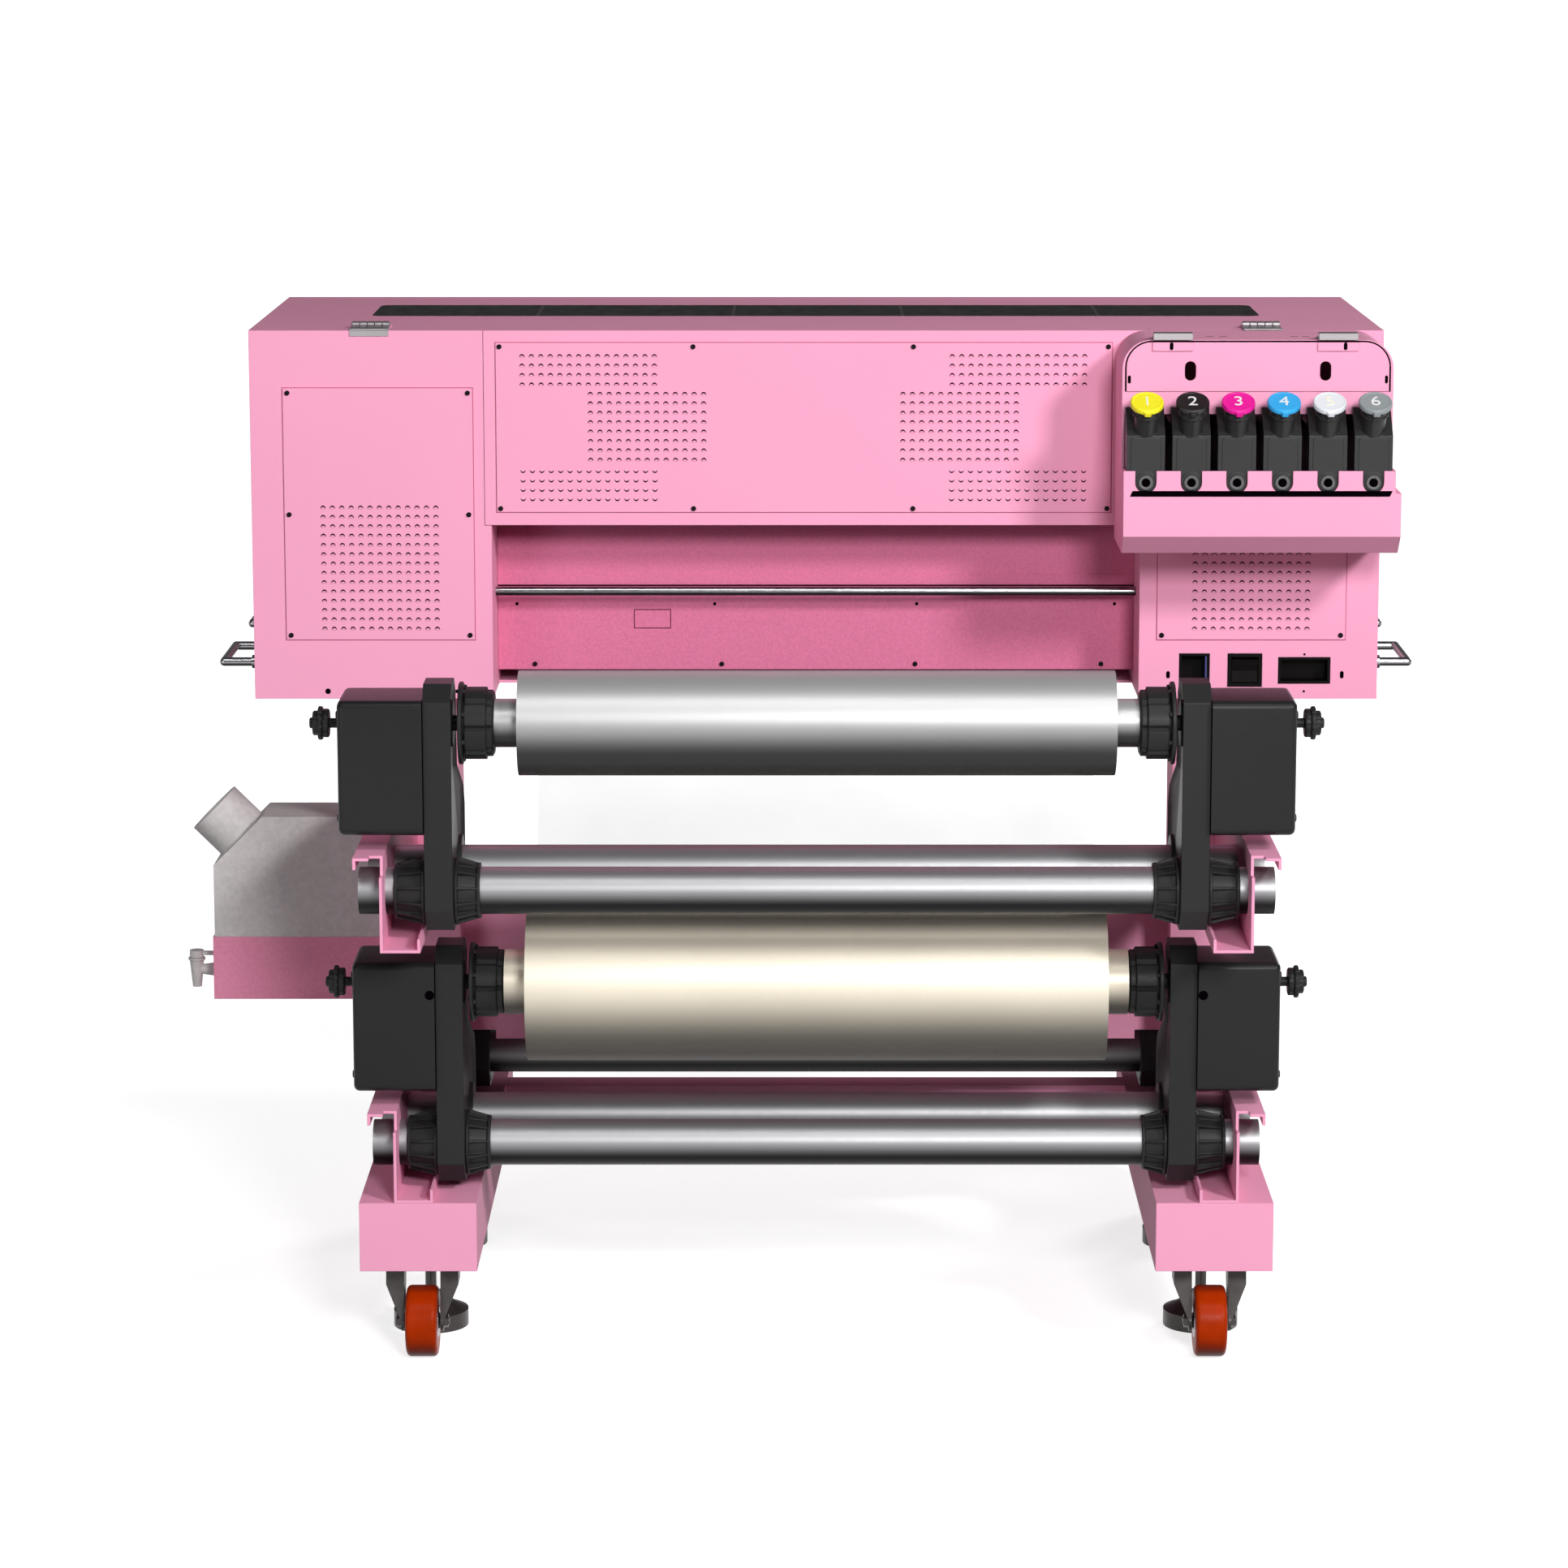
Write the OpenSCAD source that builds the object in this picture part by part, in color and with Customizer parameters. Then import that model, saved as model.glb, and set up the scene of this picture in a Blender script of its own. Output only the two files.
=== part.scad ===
/* [Body] */
// Width over both side cabinets
body_w = 1200; // [1160:5:1260]
// Height of the body's underside above the floor
body_z = 668; // [660:2:690]
// Height of the body from underside to lid
body_h = 394; // [384:2:420]
// Depth of the flat top, rear edge to the start of the front slope
top_depth = 436; // [420:2:460]
// Depth taken by the front slope
slope_run = 192; // [170:2:210]
// Height lost along the front slope
slope_drop = 162; // [150:2:170]
// Sheet-metal thickness of every casing
sheet = 3; // [2:0.5:3]
// Width of the film recess between the side cabinets
recess_w = 690; // [680:2:700]
// Height of the centre rear cover
cover_h = 207; // [200:1:214]
// Width of the smoked window in the lid
window_w = 970; // [900:10:1000]
// Depth of the smoked window
window_d = 145; // [120:5:160]

/* [Stand] */
// Distance between the two foot beams' centres
foot_pitch = 828; // [824:2:832]
// Length of a foot beam, rear to front
foot_l = 668; // [660:2:700]
// Width of a foot beam
foot_w = 122; // [118:1:124]
// Height of a foot beam
foot_h = 73; // [70:1:76]
// Width of a column
column_w = 78; // [72:1:80]
// Depth of a column
column_d = 80; // [70:2:84]
// Width of the cross beam between the feet
beam_d = 40; // [30:2:44]
// Height of the control cabinet
control_h = 188; // [170:1:192]
// Depth of the control cabinet
control_d = 110; // [90:2:112]

/* [Casters and levelling feet] */
// Caster wheel diameter
wheel_d = 75; // [70:1:76]
// Caster wheel width
wheel_w = 33; // [28:1:34]
// Ground clearance under the foot beams
caster_h = 105; // [102:1:112]
// Distance from swivel axis to wheel axle
trail = 18; // [12:1:18]
// Distance from the middle to each caster axle
caster_y = 284; // [280:1:300]
// Distance from the middle to each levelling foot
pad_y = 166; // [150:1:168]
// Diameter of a levelling pad
pad_d = 80; // [70:1:82]

/* [Roll holders] */
// Diameter of the holder tubes
tube_d = 48; // [46:0.5:50]
// Length of the holder tubes
tube_l = 926; // [910:2:940]
// Distance between the two tubes of a pair
tube_pitch = 119; // [112:1:122]
// Thickness of an arm
arm_t = 29; // [26:1:29]
// Height from tube axis to roll axis
arm_rise = 172; // [168:1:176]
// Length of the roll film on either roll
film_w = 600; // [580:5:604]
// Diameter of the upper roll
upper_roll_d = 106; // [90:1:112]
// Diameter of the lower roll
lower_roll_d = 164; // [120:1:166]
// Diameter of the upper roll's core
upper_core_d = 49; // [46:1:52]
// Diameter of the lower roll's core
lower_core_d = 68; // [64:1:70]
// Width of a drive box
drive_w = 85; // [80:1:86]
// Depth of a drive box
drive_d = 95; // [85:1:96]
// Height of a drive box
drive_h = 137; // [130:1:138]

/* [Ink station] */
// Width of the ink station
station_w = 281; // [279:1:281]
// Depth of the ink station behind the body
station_d = 111; // [108:1:114]
// Spacing of the six ink tanks
tank_pitch = 47; // [45:0.5:47]
// Width of one ink tank
tank_w = 39.5; // [38:0.5:39.5]
// Diameter of a tank cap
cap_d = 35; // [32:0.5:36]

/* [Fume and waste] */
// Diameter of the exhaust spigot
spigot_d = 65; // [60:1:66]
// Length of the exhaust spigot
spigot_l = 43; // [35:1:45]
// Height of the fume hood
hood_h = 136; // [130:1:140]
// Height of the waste tank
waste_h = 71; // [65:1:72]

/* [Hidden] */

pink = [1, 0.66, 0.8];
black = [0.12, 0.12, 0.12];
steel = [0.78, 0.78, 0.8];
grey = [0.55, 0.54, 0.54];
$fn = 48;

// Gap between pieces that lie side by side, and radial clearance of running shafts
seam = 0.5;
run = 0.05;

// Body stations: y runs from the rear, z from the floor
body_x = body_w / 2;
top_z = body_z + body_h;
rear_y = -83;
slope_y = rear_y + top_depth;
front_y = slope_y + slope_run;
front_top = top_z - slope_drop;
slope = atan2(slope_drop, slope_run);
inner_x = recess_w / 2;
cover_z = top_z - cover_h;
rail_z = top_z - sheet;
under_lid = front_top - (sheet + seam) / cos(slope);
inner_top = front_top - 20;
strip_y = rear_y + 28;
window_y = rear_y + 180;
hinge_x = body_x - 127.5;
panel_x0 = inner_x + 19;
panel_x1 = body_x - 35;
panel_z0 = body_z + 64;
panel_z1 = body_z + 333;
// Cut-outs in the right cabinet's rear: x from, x to, z from, z to
sockets = [
    [inner_x + 43, inner_x + 76, body_z + 13, body_z + 49],
    [inner_x + 95, inner_x + 132, body_z + 13, body_z + 49],
    [inner_x + 149, inner_x + 205, body_z + 16, body_z + 45]
];
recess_y = rear_y + 89;

// Stand
pad_rim = 17.5;
foot_x = foot_pitch / 2;
foot_top = caster_h + foot_h;
plate_x = tube_l / 2 - 26;
column_in = plate_x - 8 - column_w / 2;
column_out = plate_x - 8 + column_w / 2;
column_rear = 56 - column_d / 2;
column_front = 56 + column_d / 2;
control_x = column_in - 35;
control_y = 60;
control_z = 262;
cross_y = 186;
cross_h = 50;

// Holder tubes, arms and rolls
tube_r = tube_d / 2;
arm_in = plate_x - 71;
arm_out = arm_in + arm_t;
arm_rim = 38;
arm_heel = 84;
clamp_r = 34.5;
clamp_neck = 28.5;
bracket_z = 470;
bracket_h = 97;
lower_bracket_h = 95;
upper_tube = [-399, bracket_z + 52.5];
lower_tube = [-274, foot_top + 50.5];
front_tube = [264, foot_top + 50.5];
front_rise = arm_rise - 17;
upper_axis = [upper_tube[0], upper_tube[1] + arm_rise];
lower_axis = [lower_tube[0], lower_tube[1] + arm_rise];
front_axis = [front_tube[0], front_tube[1] + front_rise];
spindle_r = 8;
chuck_out = arm_in - 6;
chuck_in = chuck_out - 36;
knob_r = 17;

// Ink station
station_x = body_x - 2 - station_w;
station_end = station_x + station_w;
station_y = rear_y - station_d;
station_back = rear_y - 1.5;
tray_y = station_y - 40;
tray_z = top_z - 200;
tray_top = tray_z + 45;
flap_z = top_z - 54;
tank_top = top_z - 69;
tank_x = station_x + station_w / 2 - 2.5 * tank_pitch;
tank_y = station_y - 35;
tank_z = tray_z + sheet;
tank_bevel = 27;
neck_l = 27;
neck_lean = 30;
neck_foot = [0, tank_y + 7.5, tank_top - 18.5];
spigot_z = tray_top + 11;
apron_h = 23;
station_r = 30;
flap_hinges = [station_x + 52, station_x + station_w - 58];

// Fume hood and waste tank
hood_x = -670;
hood_in = -(arm_out + 5);
hood_y = column_front;
hood_d = 90;
hood_z = 370;
hood_cut = 55;
waste_z = hood_z - waste_h;
tap_x = hood_x - 26;
tap_y = hood_y + hood_d / 2;
tap_z = waste_z + 24.5;
plug_r = 5;

// Film transport
platen_z = inner_top - 32;
roller_z = inner_top - 36;
roller_y = slope_y + 77;
roller_r = 12;
pinch_r = 8;
pinch_z = roller_z + roller_r + pinch_r + 0.3;
rod_y = rear_y + 59;
rod_z = body_z + 108;
rod_r = 4.75;
beam_y = slope_y - 93;
beam_w = 50;
beam_z = inner_top + 50;
beam_h = 70;
carriage_w = 120;
carriage_x = body_x - 120;

// Side handles, and the rocker switch
handle_l = 115;
switch_y = rear_y + 8;
switch_z = (sockets[1][2] + sockets[1][3]) / 2;

module block(low, high) {
    translate(low)
        cube(high - low);
}

// Profile drawn in y and z, swept from x0 to x1
module along_x(x0, x1) {
    translate([x0, 0, 0])
        rotate([90, 0, 90])
            linear_extrude(x1 - x0)
                children();
}

// Profile drawn in x and z, swept from y0 to y1
module along_y(y0, y1) {
    translate([0, y1, 0])
        rotate([90, 0, 0])
            linear_extrude(y1 - y0)
                children();
}

module rod_x(x0, x1, at, r) {
    translate([x0, at[0], at[1]])
        rotate([0, 90, 0])
            cylinder(h = x1 - x0, r = r);
}

module rod_y(x, y0, y1, z, r) {
    translate([x, y0, z])
        rotate([-90, 0, 0])
            cylinder(h = y1 - y0, r = r);
}

module both_sides() {
    children();
    mirror([1, 0, 0])
        children();
}

module rounded_square(size, r) {
    translate([r, 0])
        square([size[0] - 2 * r, size[1]]);
    translate([0, r])
        square([size[0], size[1] - 2 * r]);
    for (x = [r, size[0] - r], y = [r, size[1] - r])
        translate([x, y])
            circle(r);
}

// ---- Stand ----

// Folded box beam, open below between the levelling feet
module foot() {
    low = [foot_x - foot_w / 2, -foot_l / 2, caster_h];
    high = [foot_x + foot_w / 2, foot_l / 2, foot_top];
    wall = [sheet, sheet, sheet];
    slot = pad_y - 30;
    difference() {
        block(low, high);
        block(low + wall, high - wall);
        block([foot_x - 30, -slot, caster_h - 1], [foot_x + 30, slot, caster_h + sheet + 1]);
        for (side = [-1, 1]) {
            translate([foot_x, side * pad_y, caster_h - 1])
                cylinder(h = sheet + 2, r = 6 + run);
            translate([foot_x, side * (caster_y - trail), caster_h - 1])
                cylinder(h = sheet + 2, r = 6 + run);
        }
    }
}

module foot_left() {
    color(pink)
        mirror([1, 0, 0])
            foot();
}

module foot_right() {
    color(pink)
        foot();
}

module columns() {
    low = [column_in, column_rear, foot_top];
    high = [column_out, column_front, body_z];
    color(pink)
        both_sides()
            difference() {
                block(low, high);
                block(low + [sheet, sheet, -1], high - [sheet, sheet, -1]);
            }
}

module cross_beam() {
    x = foot_x - foot_w / 2;
    low = [-x, cross_y, foot_top - cross_h];
    high = [x, cross_y + beam_d, foot_top];
    color(pink)
        difference() {
            block(low, high);
            block(low + [-1, sheet, sheet], high - [-1, sheet, sheet]);
        }
}

// Electronics box between the columns, with side flanges and a vented floor
module control_cabinet() {
    low = [-control_x, control_y, control_z];
    high = [control_x, control_y + control_d, control_z + control_h];
    wall = [sheet, sheet, sheet];
    color(pink)
        difference() {
            union() {
                block(low, high);
                both_sides()
                    block([control_x, control_y, control_z + 10],
                          [column_in, control_y + sheet, control_z + control_h - 10]);
            }
            block(low + wall, high - wall);
            for (i = [-4:4])
                block([i * 60 - 20, control_y + 30, control_z - 1],
                      [i * 60 + 20, control_y + control_d - 30, control_z + sheet + 1]);
        }
}

// Z profile with a lip on each flange, drilled for the two tubes
module bracket(y0, y1, z0, h, tubes) {
    t = sheet;
    difference() {
        along_y(y0, y1)
            polygon([
                [plate_x - 39, z0], [plate_x + t / 2, z0],
                [plate_x + t / 2, z0 + h - t], [plate_x + 28 - t, z0 + h - t],
                [plate_x + 28 - t, z0 + h - 12], [plate_x + 28, z0 + h - 12],
                [plate_x + 28, z0 + h], [plate_x - t / 2, z0 + h],
                [plate_x - t / 2, z0 + t], [plate_x - 39 + t, z0 + t],
                [plate_x - 39 + t, z0 + 14], [plate_x - 39, z0 + 14]
            ]);
        for (tube = tubes)
            rod_x(plate_x - 10, plate_x + 10, tube, tube_r + run);
        block([plate_x - 5, y0 - 1, z0 + h - 20], [plate_x + 12, y0 + 14, z0 + h + 1]);
    }
}

function pair(tube, way) = [tube, [tube[0] + way * tube_pitch, tube[1]]];

module tube_brackets() {
    color(pink)
        both_sides() {
            bracket(upper_tube[0] - 60, column_rear, bracket_z, bracket_h, pair(upper_tube, 1));
            bracket(-foot_l / 2, column_rear, foot_top, lower_bracket_h, pair(lower_tube, 1));
            bracket(column_front, foot_l / 2, foot_top, lower_bracket_h, pair(front_tube, -1));
        }
}

module roll_tubes() {
    holders = concat(pair(upper_tube, 1), pair(lower_tube, 1), pair(front_tube, -1));
    color(steel)
        for (tube = holders)
            difference() {
                rod_x(-tube_l / 2, tube_l / 2, tube, tube_r);
                rod_x(-tube_l / 2 - 1, tube_l / 2 + 1, tube, tube_r - sheet);
            }
}

// Arm clamped on a pair of tubes, bored for the spindle at its top
module arm(tube, way, rise) {
    rim = arm_rim;
    span = tube_pitch;
    outline = [
        [-rim, -15], [-15, -rim], [span + 15, -rim], [span + rim, -15],
        [span + rim, arm_heel - 22], [span + 22, arm_heel], [rim + 10, rise - 50], [rim + 2, rise + 26],
        [20, rise + 43], [-20, rise + 43], [-rim, rise + 26]
    ];
    difference() {
        along_x(arm_in, arm_out)
            polygon([for (p = outline) [tube[0] + way * p[0], tube[1] + p[1]]]);
        for (hole = pair(tube, way))
            rod_x(arm_in - 1, arm_out + 1, hole, tube_r + run);
        rod_x(arm_in - 1, arm_out + 1, [tube[0], tube[1] + rise], spindle_r + run);
    }
}

module upper_arms() {
    color(black)
        both_sides()
            arm(upper_tube, 1, arm_rise);
}

module lower_arms() {
    color(black)
        both_sides()
            arm(lower_tube, 1, arm_rise);
}

module front_arms() {
    color(black)
        both_sides()
            arm(front_tube, -1, front_rise);
}

// Cone collar pressed against an arm, wide end towards the arm
module tube_clamp(x, l, at) {
    translate([x, at[0], at[1]])
        rotate([0, 90, 0])
            difference() {
                if (l > 0)
                    cylinder(h = l, r1 = clamp_r, r2 = clamp_neck);
                else
                    translate([0, 0, l])
                        cylinder(h = -l, r1 = clamp_neck, r2 = clamp_r);
                translate([0, 0, -50])
                    cylinder(h = 100, r = tube_r + run);
            }
}

module tube_clamps() {
    color(black)
        both_sides()
            for (tube = [upper_tube, lower_tube, front_tube]) {
                tube_clamp(arm_out, 32, tube);
                tube_clamp(arm_in, -26, tube);
            }
}

// Motor housing, open towards the arm, bored for the spindle
module drive_box(axis, way, w) {
    rear = axis[0] - way * drive_d * 0.47;
    front = rear + way * drive_d;
    low_y = min(rear, front);
    z0 = axis[1] - 108;
    difference() {
        translate([arm_out, low_y, z0])
            rotate([90, 0, 90])
                linear_extrude(w)
                    rounded_square([drive_d, drive_h], 10);
        block([arm_out - 1, low_y + sheet, z0 + sheet],
              [arm_out + w - 2 * sheet, low_y + drive_d - sheet, z0 + drive_h - sheet]);
        rod_x(arm_out, arm_out + w + 1, axis, spindle_r + run);
    }
}

module drive_boxes() {
    color(black)
        both_sides() {
            drive_box(upper_axis, 1, drive_w);
            drive_box(lower_axis, 1, drive_w);
            drive_box(front_axis, -1, drive_w - 12);
        }
}

module film_roll(axis, roll_d, core_d) {
    difference() {
        rod_x(-film_w / 2, film_w / 2, axis, roll_d / 2);
        rod_x(-film_w / 2 - 1, film_w / 2 + 1, axis, core_d / 2);
    }
    roll_core(axis, core_d);
}

module roll_core(axis, core_d) {
    difference() {
        rod_x(-chuck_in, chuck_in, axis, core_d / 2);
        rod_x(-chuck_in - 1, chuck_in + 1, axis, core_d / 2 - 5);
    }
}

// Drum and plug that grip a core end, on a spindle that runs out to a knob
module chuck(axis, core_d, spindle_end, knob) {
    rod_x(chuck_in - 40, chuck_in, axis, core_d / 2 - 5);
    rod_x(chuck_in, chuck_out - 4, axis, 37);
    rod_x(chuck_out - 4, chuck_out, axis, 42);
    rod_x(chuck_out, spindle_end, axis, spindle_r);
    if (knob) {
        rod_x(spindle_end, spindle_end + 13, axis, 5);
        rod_x(spindle_end + 11, spindle_end + 17.5, axis, knob_r - 2.5);
        rod_x(spindle_end + 17.5, spindle_end + 22, axis, knob_r);
        rod_x(spindle_end + 22, spindle_end + 27.5, axis, knob_r - 4.5);
        rod_x(spindle_end + 27.5, spindle_end + 31, axis, 5.5);
    }
}

module upper_film_roll() {
    color([0.72, 0.72, 0.73])
        film_roll(upper_axis, upper_roll_d, upper_core_d);
}

module upper_chucks() {
    color(black)
        both_sides()
            chuck(upper_axis, upper_core_d, arm_out + drive_w, true);
}

module lower_film_roll() {
    color([0.9, 0.86, 0.76])
        film_roll(lower_axis, lower_roll_d, lower_core_d);
}

module lower_chucks() {
    color(black)
        both_sides()
            chuck(lower_axis, lower_core_d, arm_out + drive_w, true);
}

module takeup_core() {
    color([0.85, 0.8, 0.7])
        roll_core(front_axis, lower_core_d);
}

module takeup_chucks() {
    color(black)
        both_sides()
            chuck(front_axis, lower_core_d, arm_out + drive_w - 12, false);
}

// ---- Casters and levelling feet ----

// Fork with kingpin, axle and nuts; the wheel trails away from the middle
module caster_fork(side_x, side_y) {
    pivot_y = side_y * (caster_y - trail);
    axle_y = side_y * caster_y;
    axle_z = wheel_d / 2;
    head_z = caster_h - 0.3 - sheet;
    leg_x = wheel_w / 2 + 2.5;
    flare = leg_x + 19;
    r = 11;
    color([0.25, 0.25, 0.26])
        translate([side_x * foot_x, 0, 0]) {
            block([-flare, pivot_y - 20, head_z], [flare, pivot_y + 20, head_z + sheet]);
            translate([0, pivot_y, caster_h - 1])
                cylinder(h = sheet + 7, r = 6);
            for (s = [-1, 1])
                difference() {
                    union() {
                        along_x(min(s * leg_x, s * (leg_x + 3)), max(s * leg_x, s * (leg_x + 3)))
                            polygon([
                                [pivot_y - 17, head_z], [pivot_y + 17, head_z],
                                [axle_y + r, axle_z], [axle_y - r, axle_z]
                            ]);
                        along_x(min(s * leg_x, s * (leg_x + 3)), max(s * leg_x, s * (leg_x + 3)))
                            translate([axle_y, axle_z])
                                circle(r);
                    }
                    rod_x(-leg_x - 4, leg_x + 4, [axle_y, axle_z], 4);
                }
            // Flared sides of the folded legs
            intersection() {
                for (s = [-1, 1])
                    along_y(axle_y - 60, axle_y + 60)
                        polygon([
                            [s * (leg_x + 2), axle_z + 2], [s * (leg_x + 3.5), axle_z + 2],
                            [s * flare, head_z - 24], [s * flare, head_z + 1], [s * (leg_x + 2), head_z + 1]
                        ]);
                along_x(-flare - 1, flare + 1)
                    polygon([
                        [pivot_y - 17, head_z + 2], [pivot_y + 17, head_z + 2],
                        [axle_y + r, axle_z], [axle_y - r, axle_z]
                    ]);
            }
            rod_x(-leg_x - 9, leg_x + 9, [axle_y, axle_z], 4);
            for (s = [-1, 1])
                translate([s * (leg_x + 5.5), axle_y, axle_z])
                    rotate([0, 90, 0])
                        cylinder(h = 5, r = 7.5, center = true, $fn = 6);
        }
}

// Tyre with rounded shoulders on a bored hub
module caster_wheel(side_x, side_y) {
    r = wheel_d / 2;
    w = wheel_w / 2;
    soft = 5;
    color([0.85, 0.32, 0.05])
        translate([side_x * foot_x, side_y * caster_y, r])
            rotate([0, 90, 0])
                rotate_extrude($fn = 96)
                    difference() {
                        union() {
                            translate([0, -w + soft])
                                square([r, 2 * w - 2 * soft]);
                            translate([0, -w])
                                square([r - soft, 2 * w]);
                            for (s = [-1, 1])
                                translate([r - soft, s * (w - soft)])
                                    circle(soft, $fn = 24);
                        }
                        translate([-1, -w - 1])
                            square([1 + 4 + run, 2 * w + 2]);
                        translate([-20, -w - 1])
                            square([20, 2 * w + 2]);
                    }
}

module levelling_foot(side_x, side_y) {
    color([0.5, 0.5, 0.52])
        translate([side_x * foot_x, side_y * pad_y, 0]) {
            cylinder(h = pad_rim, r = pad_d / 2);
            translate([0, 0, pad_rim])
                cylinder(h = 10, r1 = pad_d / 2 - 1, r2 = 18);
            translate([0, 0, pad_rim + 14])
                cylinder(h = 6, r = 11, $fn = 6);
            translate([0, 0, pad_rim])
                cylinder(h = caster_h + 4, r = 6);
        }
}

module caster_fork_rear_left() { caster_fork(-1, -1); }
module caster_fork_rear_right() { caster_fork(1, -1); }
module caster_fork_front_left() { caster_fork(-1, 1); }
module caster_fork_front_right() { caster_fork(1, 1); }
module caster_wheel_rear_left() { caster_wheel(-1, -1); }
module caster_wheel_rear_right() { caster_wheel(1, -1); }
module caster_wheel_front_left() { caster_wheel(-1, 1); }
module caster_wheel_front_right() { caster_wheel(1, 1); }
module levelling_foot_rear_left() { levelling_foot(-1, -1); }
module levelling_foot_rear_right() { levelling_foot(1, -1); }
module levelling_foot_front_left() { levelling_foot(-1, 1); }
module levelling_foot_front_right() { levelling_foot(1, 1); }

// ---- Body ----

// Side outline of the body in y and z, up to the underside of the lid
module body_outline() {
    polygon([
        [rear_y, body_z], [front_y, body_z], [front_y, under_lid],
        [slope_y - (sheet + seam) * tan(slope / 2), rail_z - seam], [rear_y, rail_z - seam]
    ]);
}

// Cabinet casing, open at the top, with an inner wall that carries the rollers
module cabinet() {
    wall_x = inner_x + sheet;
    inside = rear_y + sheet;
    difference() {
        along_x(inner_x, body_x)
            body_outline();
        block([wall_x, inside, body_z + sheet], [body_x - sheet, front_y - sheet, top_z + 1]);
        // Inner wall cut down to the film path, with a post under the gantry
        along_x(inner_x - 1, wall_x + 1)
            polygon([
                [inside, cover_z - seam], [recess_y + 20, cover_z - seam], [recess_y + 20, inner_top],
                [beam_y + 2, inner_top], [beam_y + 2, beam_z], [beam_y + beam_w - 2, beam_z],
                [beam_y + beam_w - 2, inner_top], [front_y - sheet, inner_top],
                [front_y - sheet, top_z], [inside, top_z]
            ]);
        // Rebate for the centre rear cover
        block([inner_x - 1, rear_y - 1, cover_z - seam], [inner_x + 7 + seam, strip_y, top_z]);
        // Journals of the idler, feed and pinch rollers
        rod_x(inner_x - 1, wall_x + 1, [rod_y, rod_z], 3 + run);
        rod_x(inner_x - 1, wall_x + 1, [roller_y, roller_z], 5 + run);
        rod_x(inner_x - 1, wall_x + 1, [roller_y, pinch_z], 4 + run);
        // Door opening behind the access panel
        block([panel_x0 + 12, rear_y - 1, panel_z0 + 12],
              [panel_x1 - 12, rear_y + sheet + 1, panel_z1 - 12]);
    }
    // Fixed top strip that carries the lid hinges
    block([inner_x + 7 + seam, rear_y, rail_z - seam], [body_x, strip_y, top_z]);
}

module cabinet_left() {
    color(pink)
        mirror([1, 0, 0])
            difference() {
                cabinet();
                rod_y(body_x - 78, rear_y - 1, rear_y + sheet + 1, body_z + 8, 3);
            }
}

module cabinet_right() {
    color(pink)
        difference() {
            cabinet();
            for (cut = sockets)
                block([cut[0], rear_y - 1, cut[2]], [cut[1], rear_y + sheet + 1, cut[3]]);
        }
}

// Floor between the cabinets, with the film slot left open behind it
module base_pan() {
    color(pink)
        block([-inner_x, recess_y + 20, body_z], [inner_x, front_y - sheet, body_z + sheet]);
}

module rear_cover() {
    x = inner_x + 7;
    color(pink) {
        block([-x, rear_y, cover_z], [x, rear_y + sheet, rail_z - seam]);
        block([-x, rear_y, rail_z - seam], [x, strip_y, top_z]);
        block([-inner_x + 1, rear_y + sheet, cover_z], [inner_x - 1, strip_y, cover_z + sheet]);
    }
}

// Thin louvred covers on the side cabinets and the centre cover
module access_panels() {
    y0 = rear_y - 1.5;
    color(pink) {
        both_sides()
            block([panel_x0, y0, panel_z0], [panel_x1, rear_y, panel_z1]);
        block([-inner_x + 6, y0, cover_z + 14], [inner_x - 32, rear_y, top_z - 13]);
    }
}

// Flat lower panel, and a curved guide above the idler rod
module recess_panels() {
    x = inner_x - 0.3;
    guide_r = 150;
    guide_z = rod_z + 14;
    sweep = [for (a = [0:6:54]) a];
    outer = [for (a = sweep) [recess_y + guide_r * (1 - cos(a)), guide_z + guide_r * sin(a)]];
    inner = [for (a = sweep)
        [recess_y + guide_r - (guide_r - 2) * cos(a), guide_z + (guide_r - 2) * sin(a)]];
    back = [for (i = [len(inner) - 1:-1:0]) inner[i]];
    color(pink) {
        along_x(-x, x)
            polygon([
                [recess_y, body_z + 18], [recess_y + 16, body_z + 18], [recess_y + 16, body_z + 21],
                [recess_y + 3, body_z + 21], [recess_y + 3, guide_z - 7],
                [recess_y + 16, guide_z - 7], [recess_y + 16, guide_z - 4], [recess_y, guide_z - 4]
            ]);
        along_x(-x, x)
            polygon(concat(outer, back));
    }
}

// Centre front panel with the film exit below it
module front_cover() {
    x = inner_x - 0.3;
    color(pink)
        along_x(-x, x)
            polygon([
                [front_y - sheet, body_z + 34], [front_y, body_z + 34], [front_y, under_lid],
                [front_y - sheet, under_lid + sheet * tan(slope)]
            ]);
}

module platen() {
    x = inner_x - 0.3;
    y0 = recess_y + 70;
    y1 = roller_y - 24;
    color([0.75, 0.75, 0.77])
        difference() {
            block([-x, y0, platen_z - 14], [x, y1, platen_z]);
            block([-x + 20, y0 + 12, platen_z - 15], [x - 20, y1 - 12, platen_z - 5]);
        }
}

// Folded lid sheet with the window opening
module top_lid() {
    t = sheet;
    color(pink) {
        difference() {
            along_x(-body_x, body_x)
                polygon([
                    [strip_y + seam, rail_z], [slope_y - t * tan(slope / 2), rail_z],
                    [front_y, front_top - t / cos(slope)], [front_y, front_top],
                    [slope_y, top_z], [strip_y + seam, top_z]
                ]);
            translate([0, window_y, rail_z - 1])
                linear_extrude(t + 2)
                    window_outline(0.2);
        }
        // Hinge leaves on the lid
        both_sides()
            block([hinge_x - 20, strip_y + 5, top_z], [hinge_x + 20, strip_y + 26, top_z + 1.5]);
    }
}

module window_outline(grow) {
    translate([-window_w / 2 - grow, -grow])
        rounded_square([window_w + 2 * grow, window_d + 2 * grow], 12);
}

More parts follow.
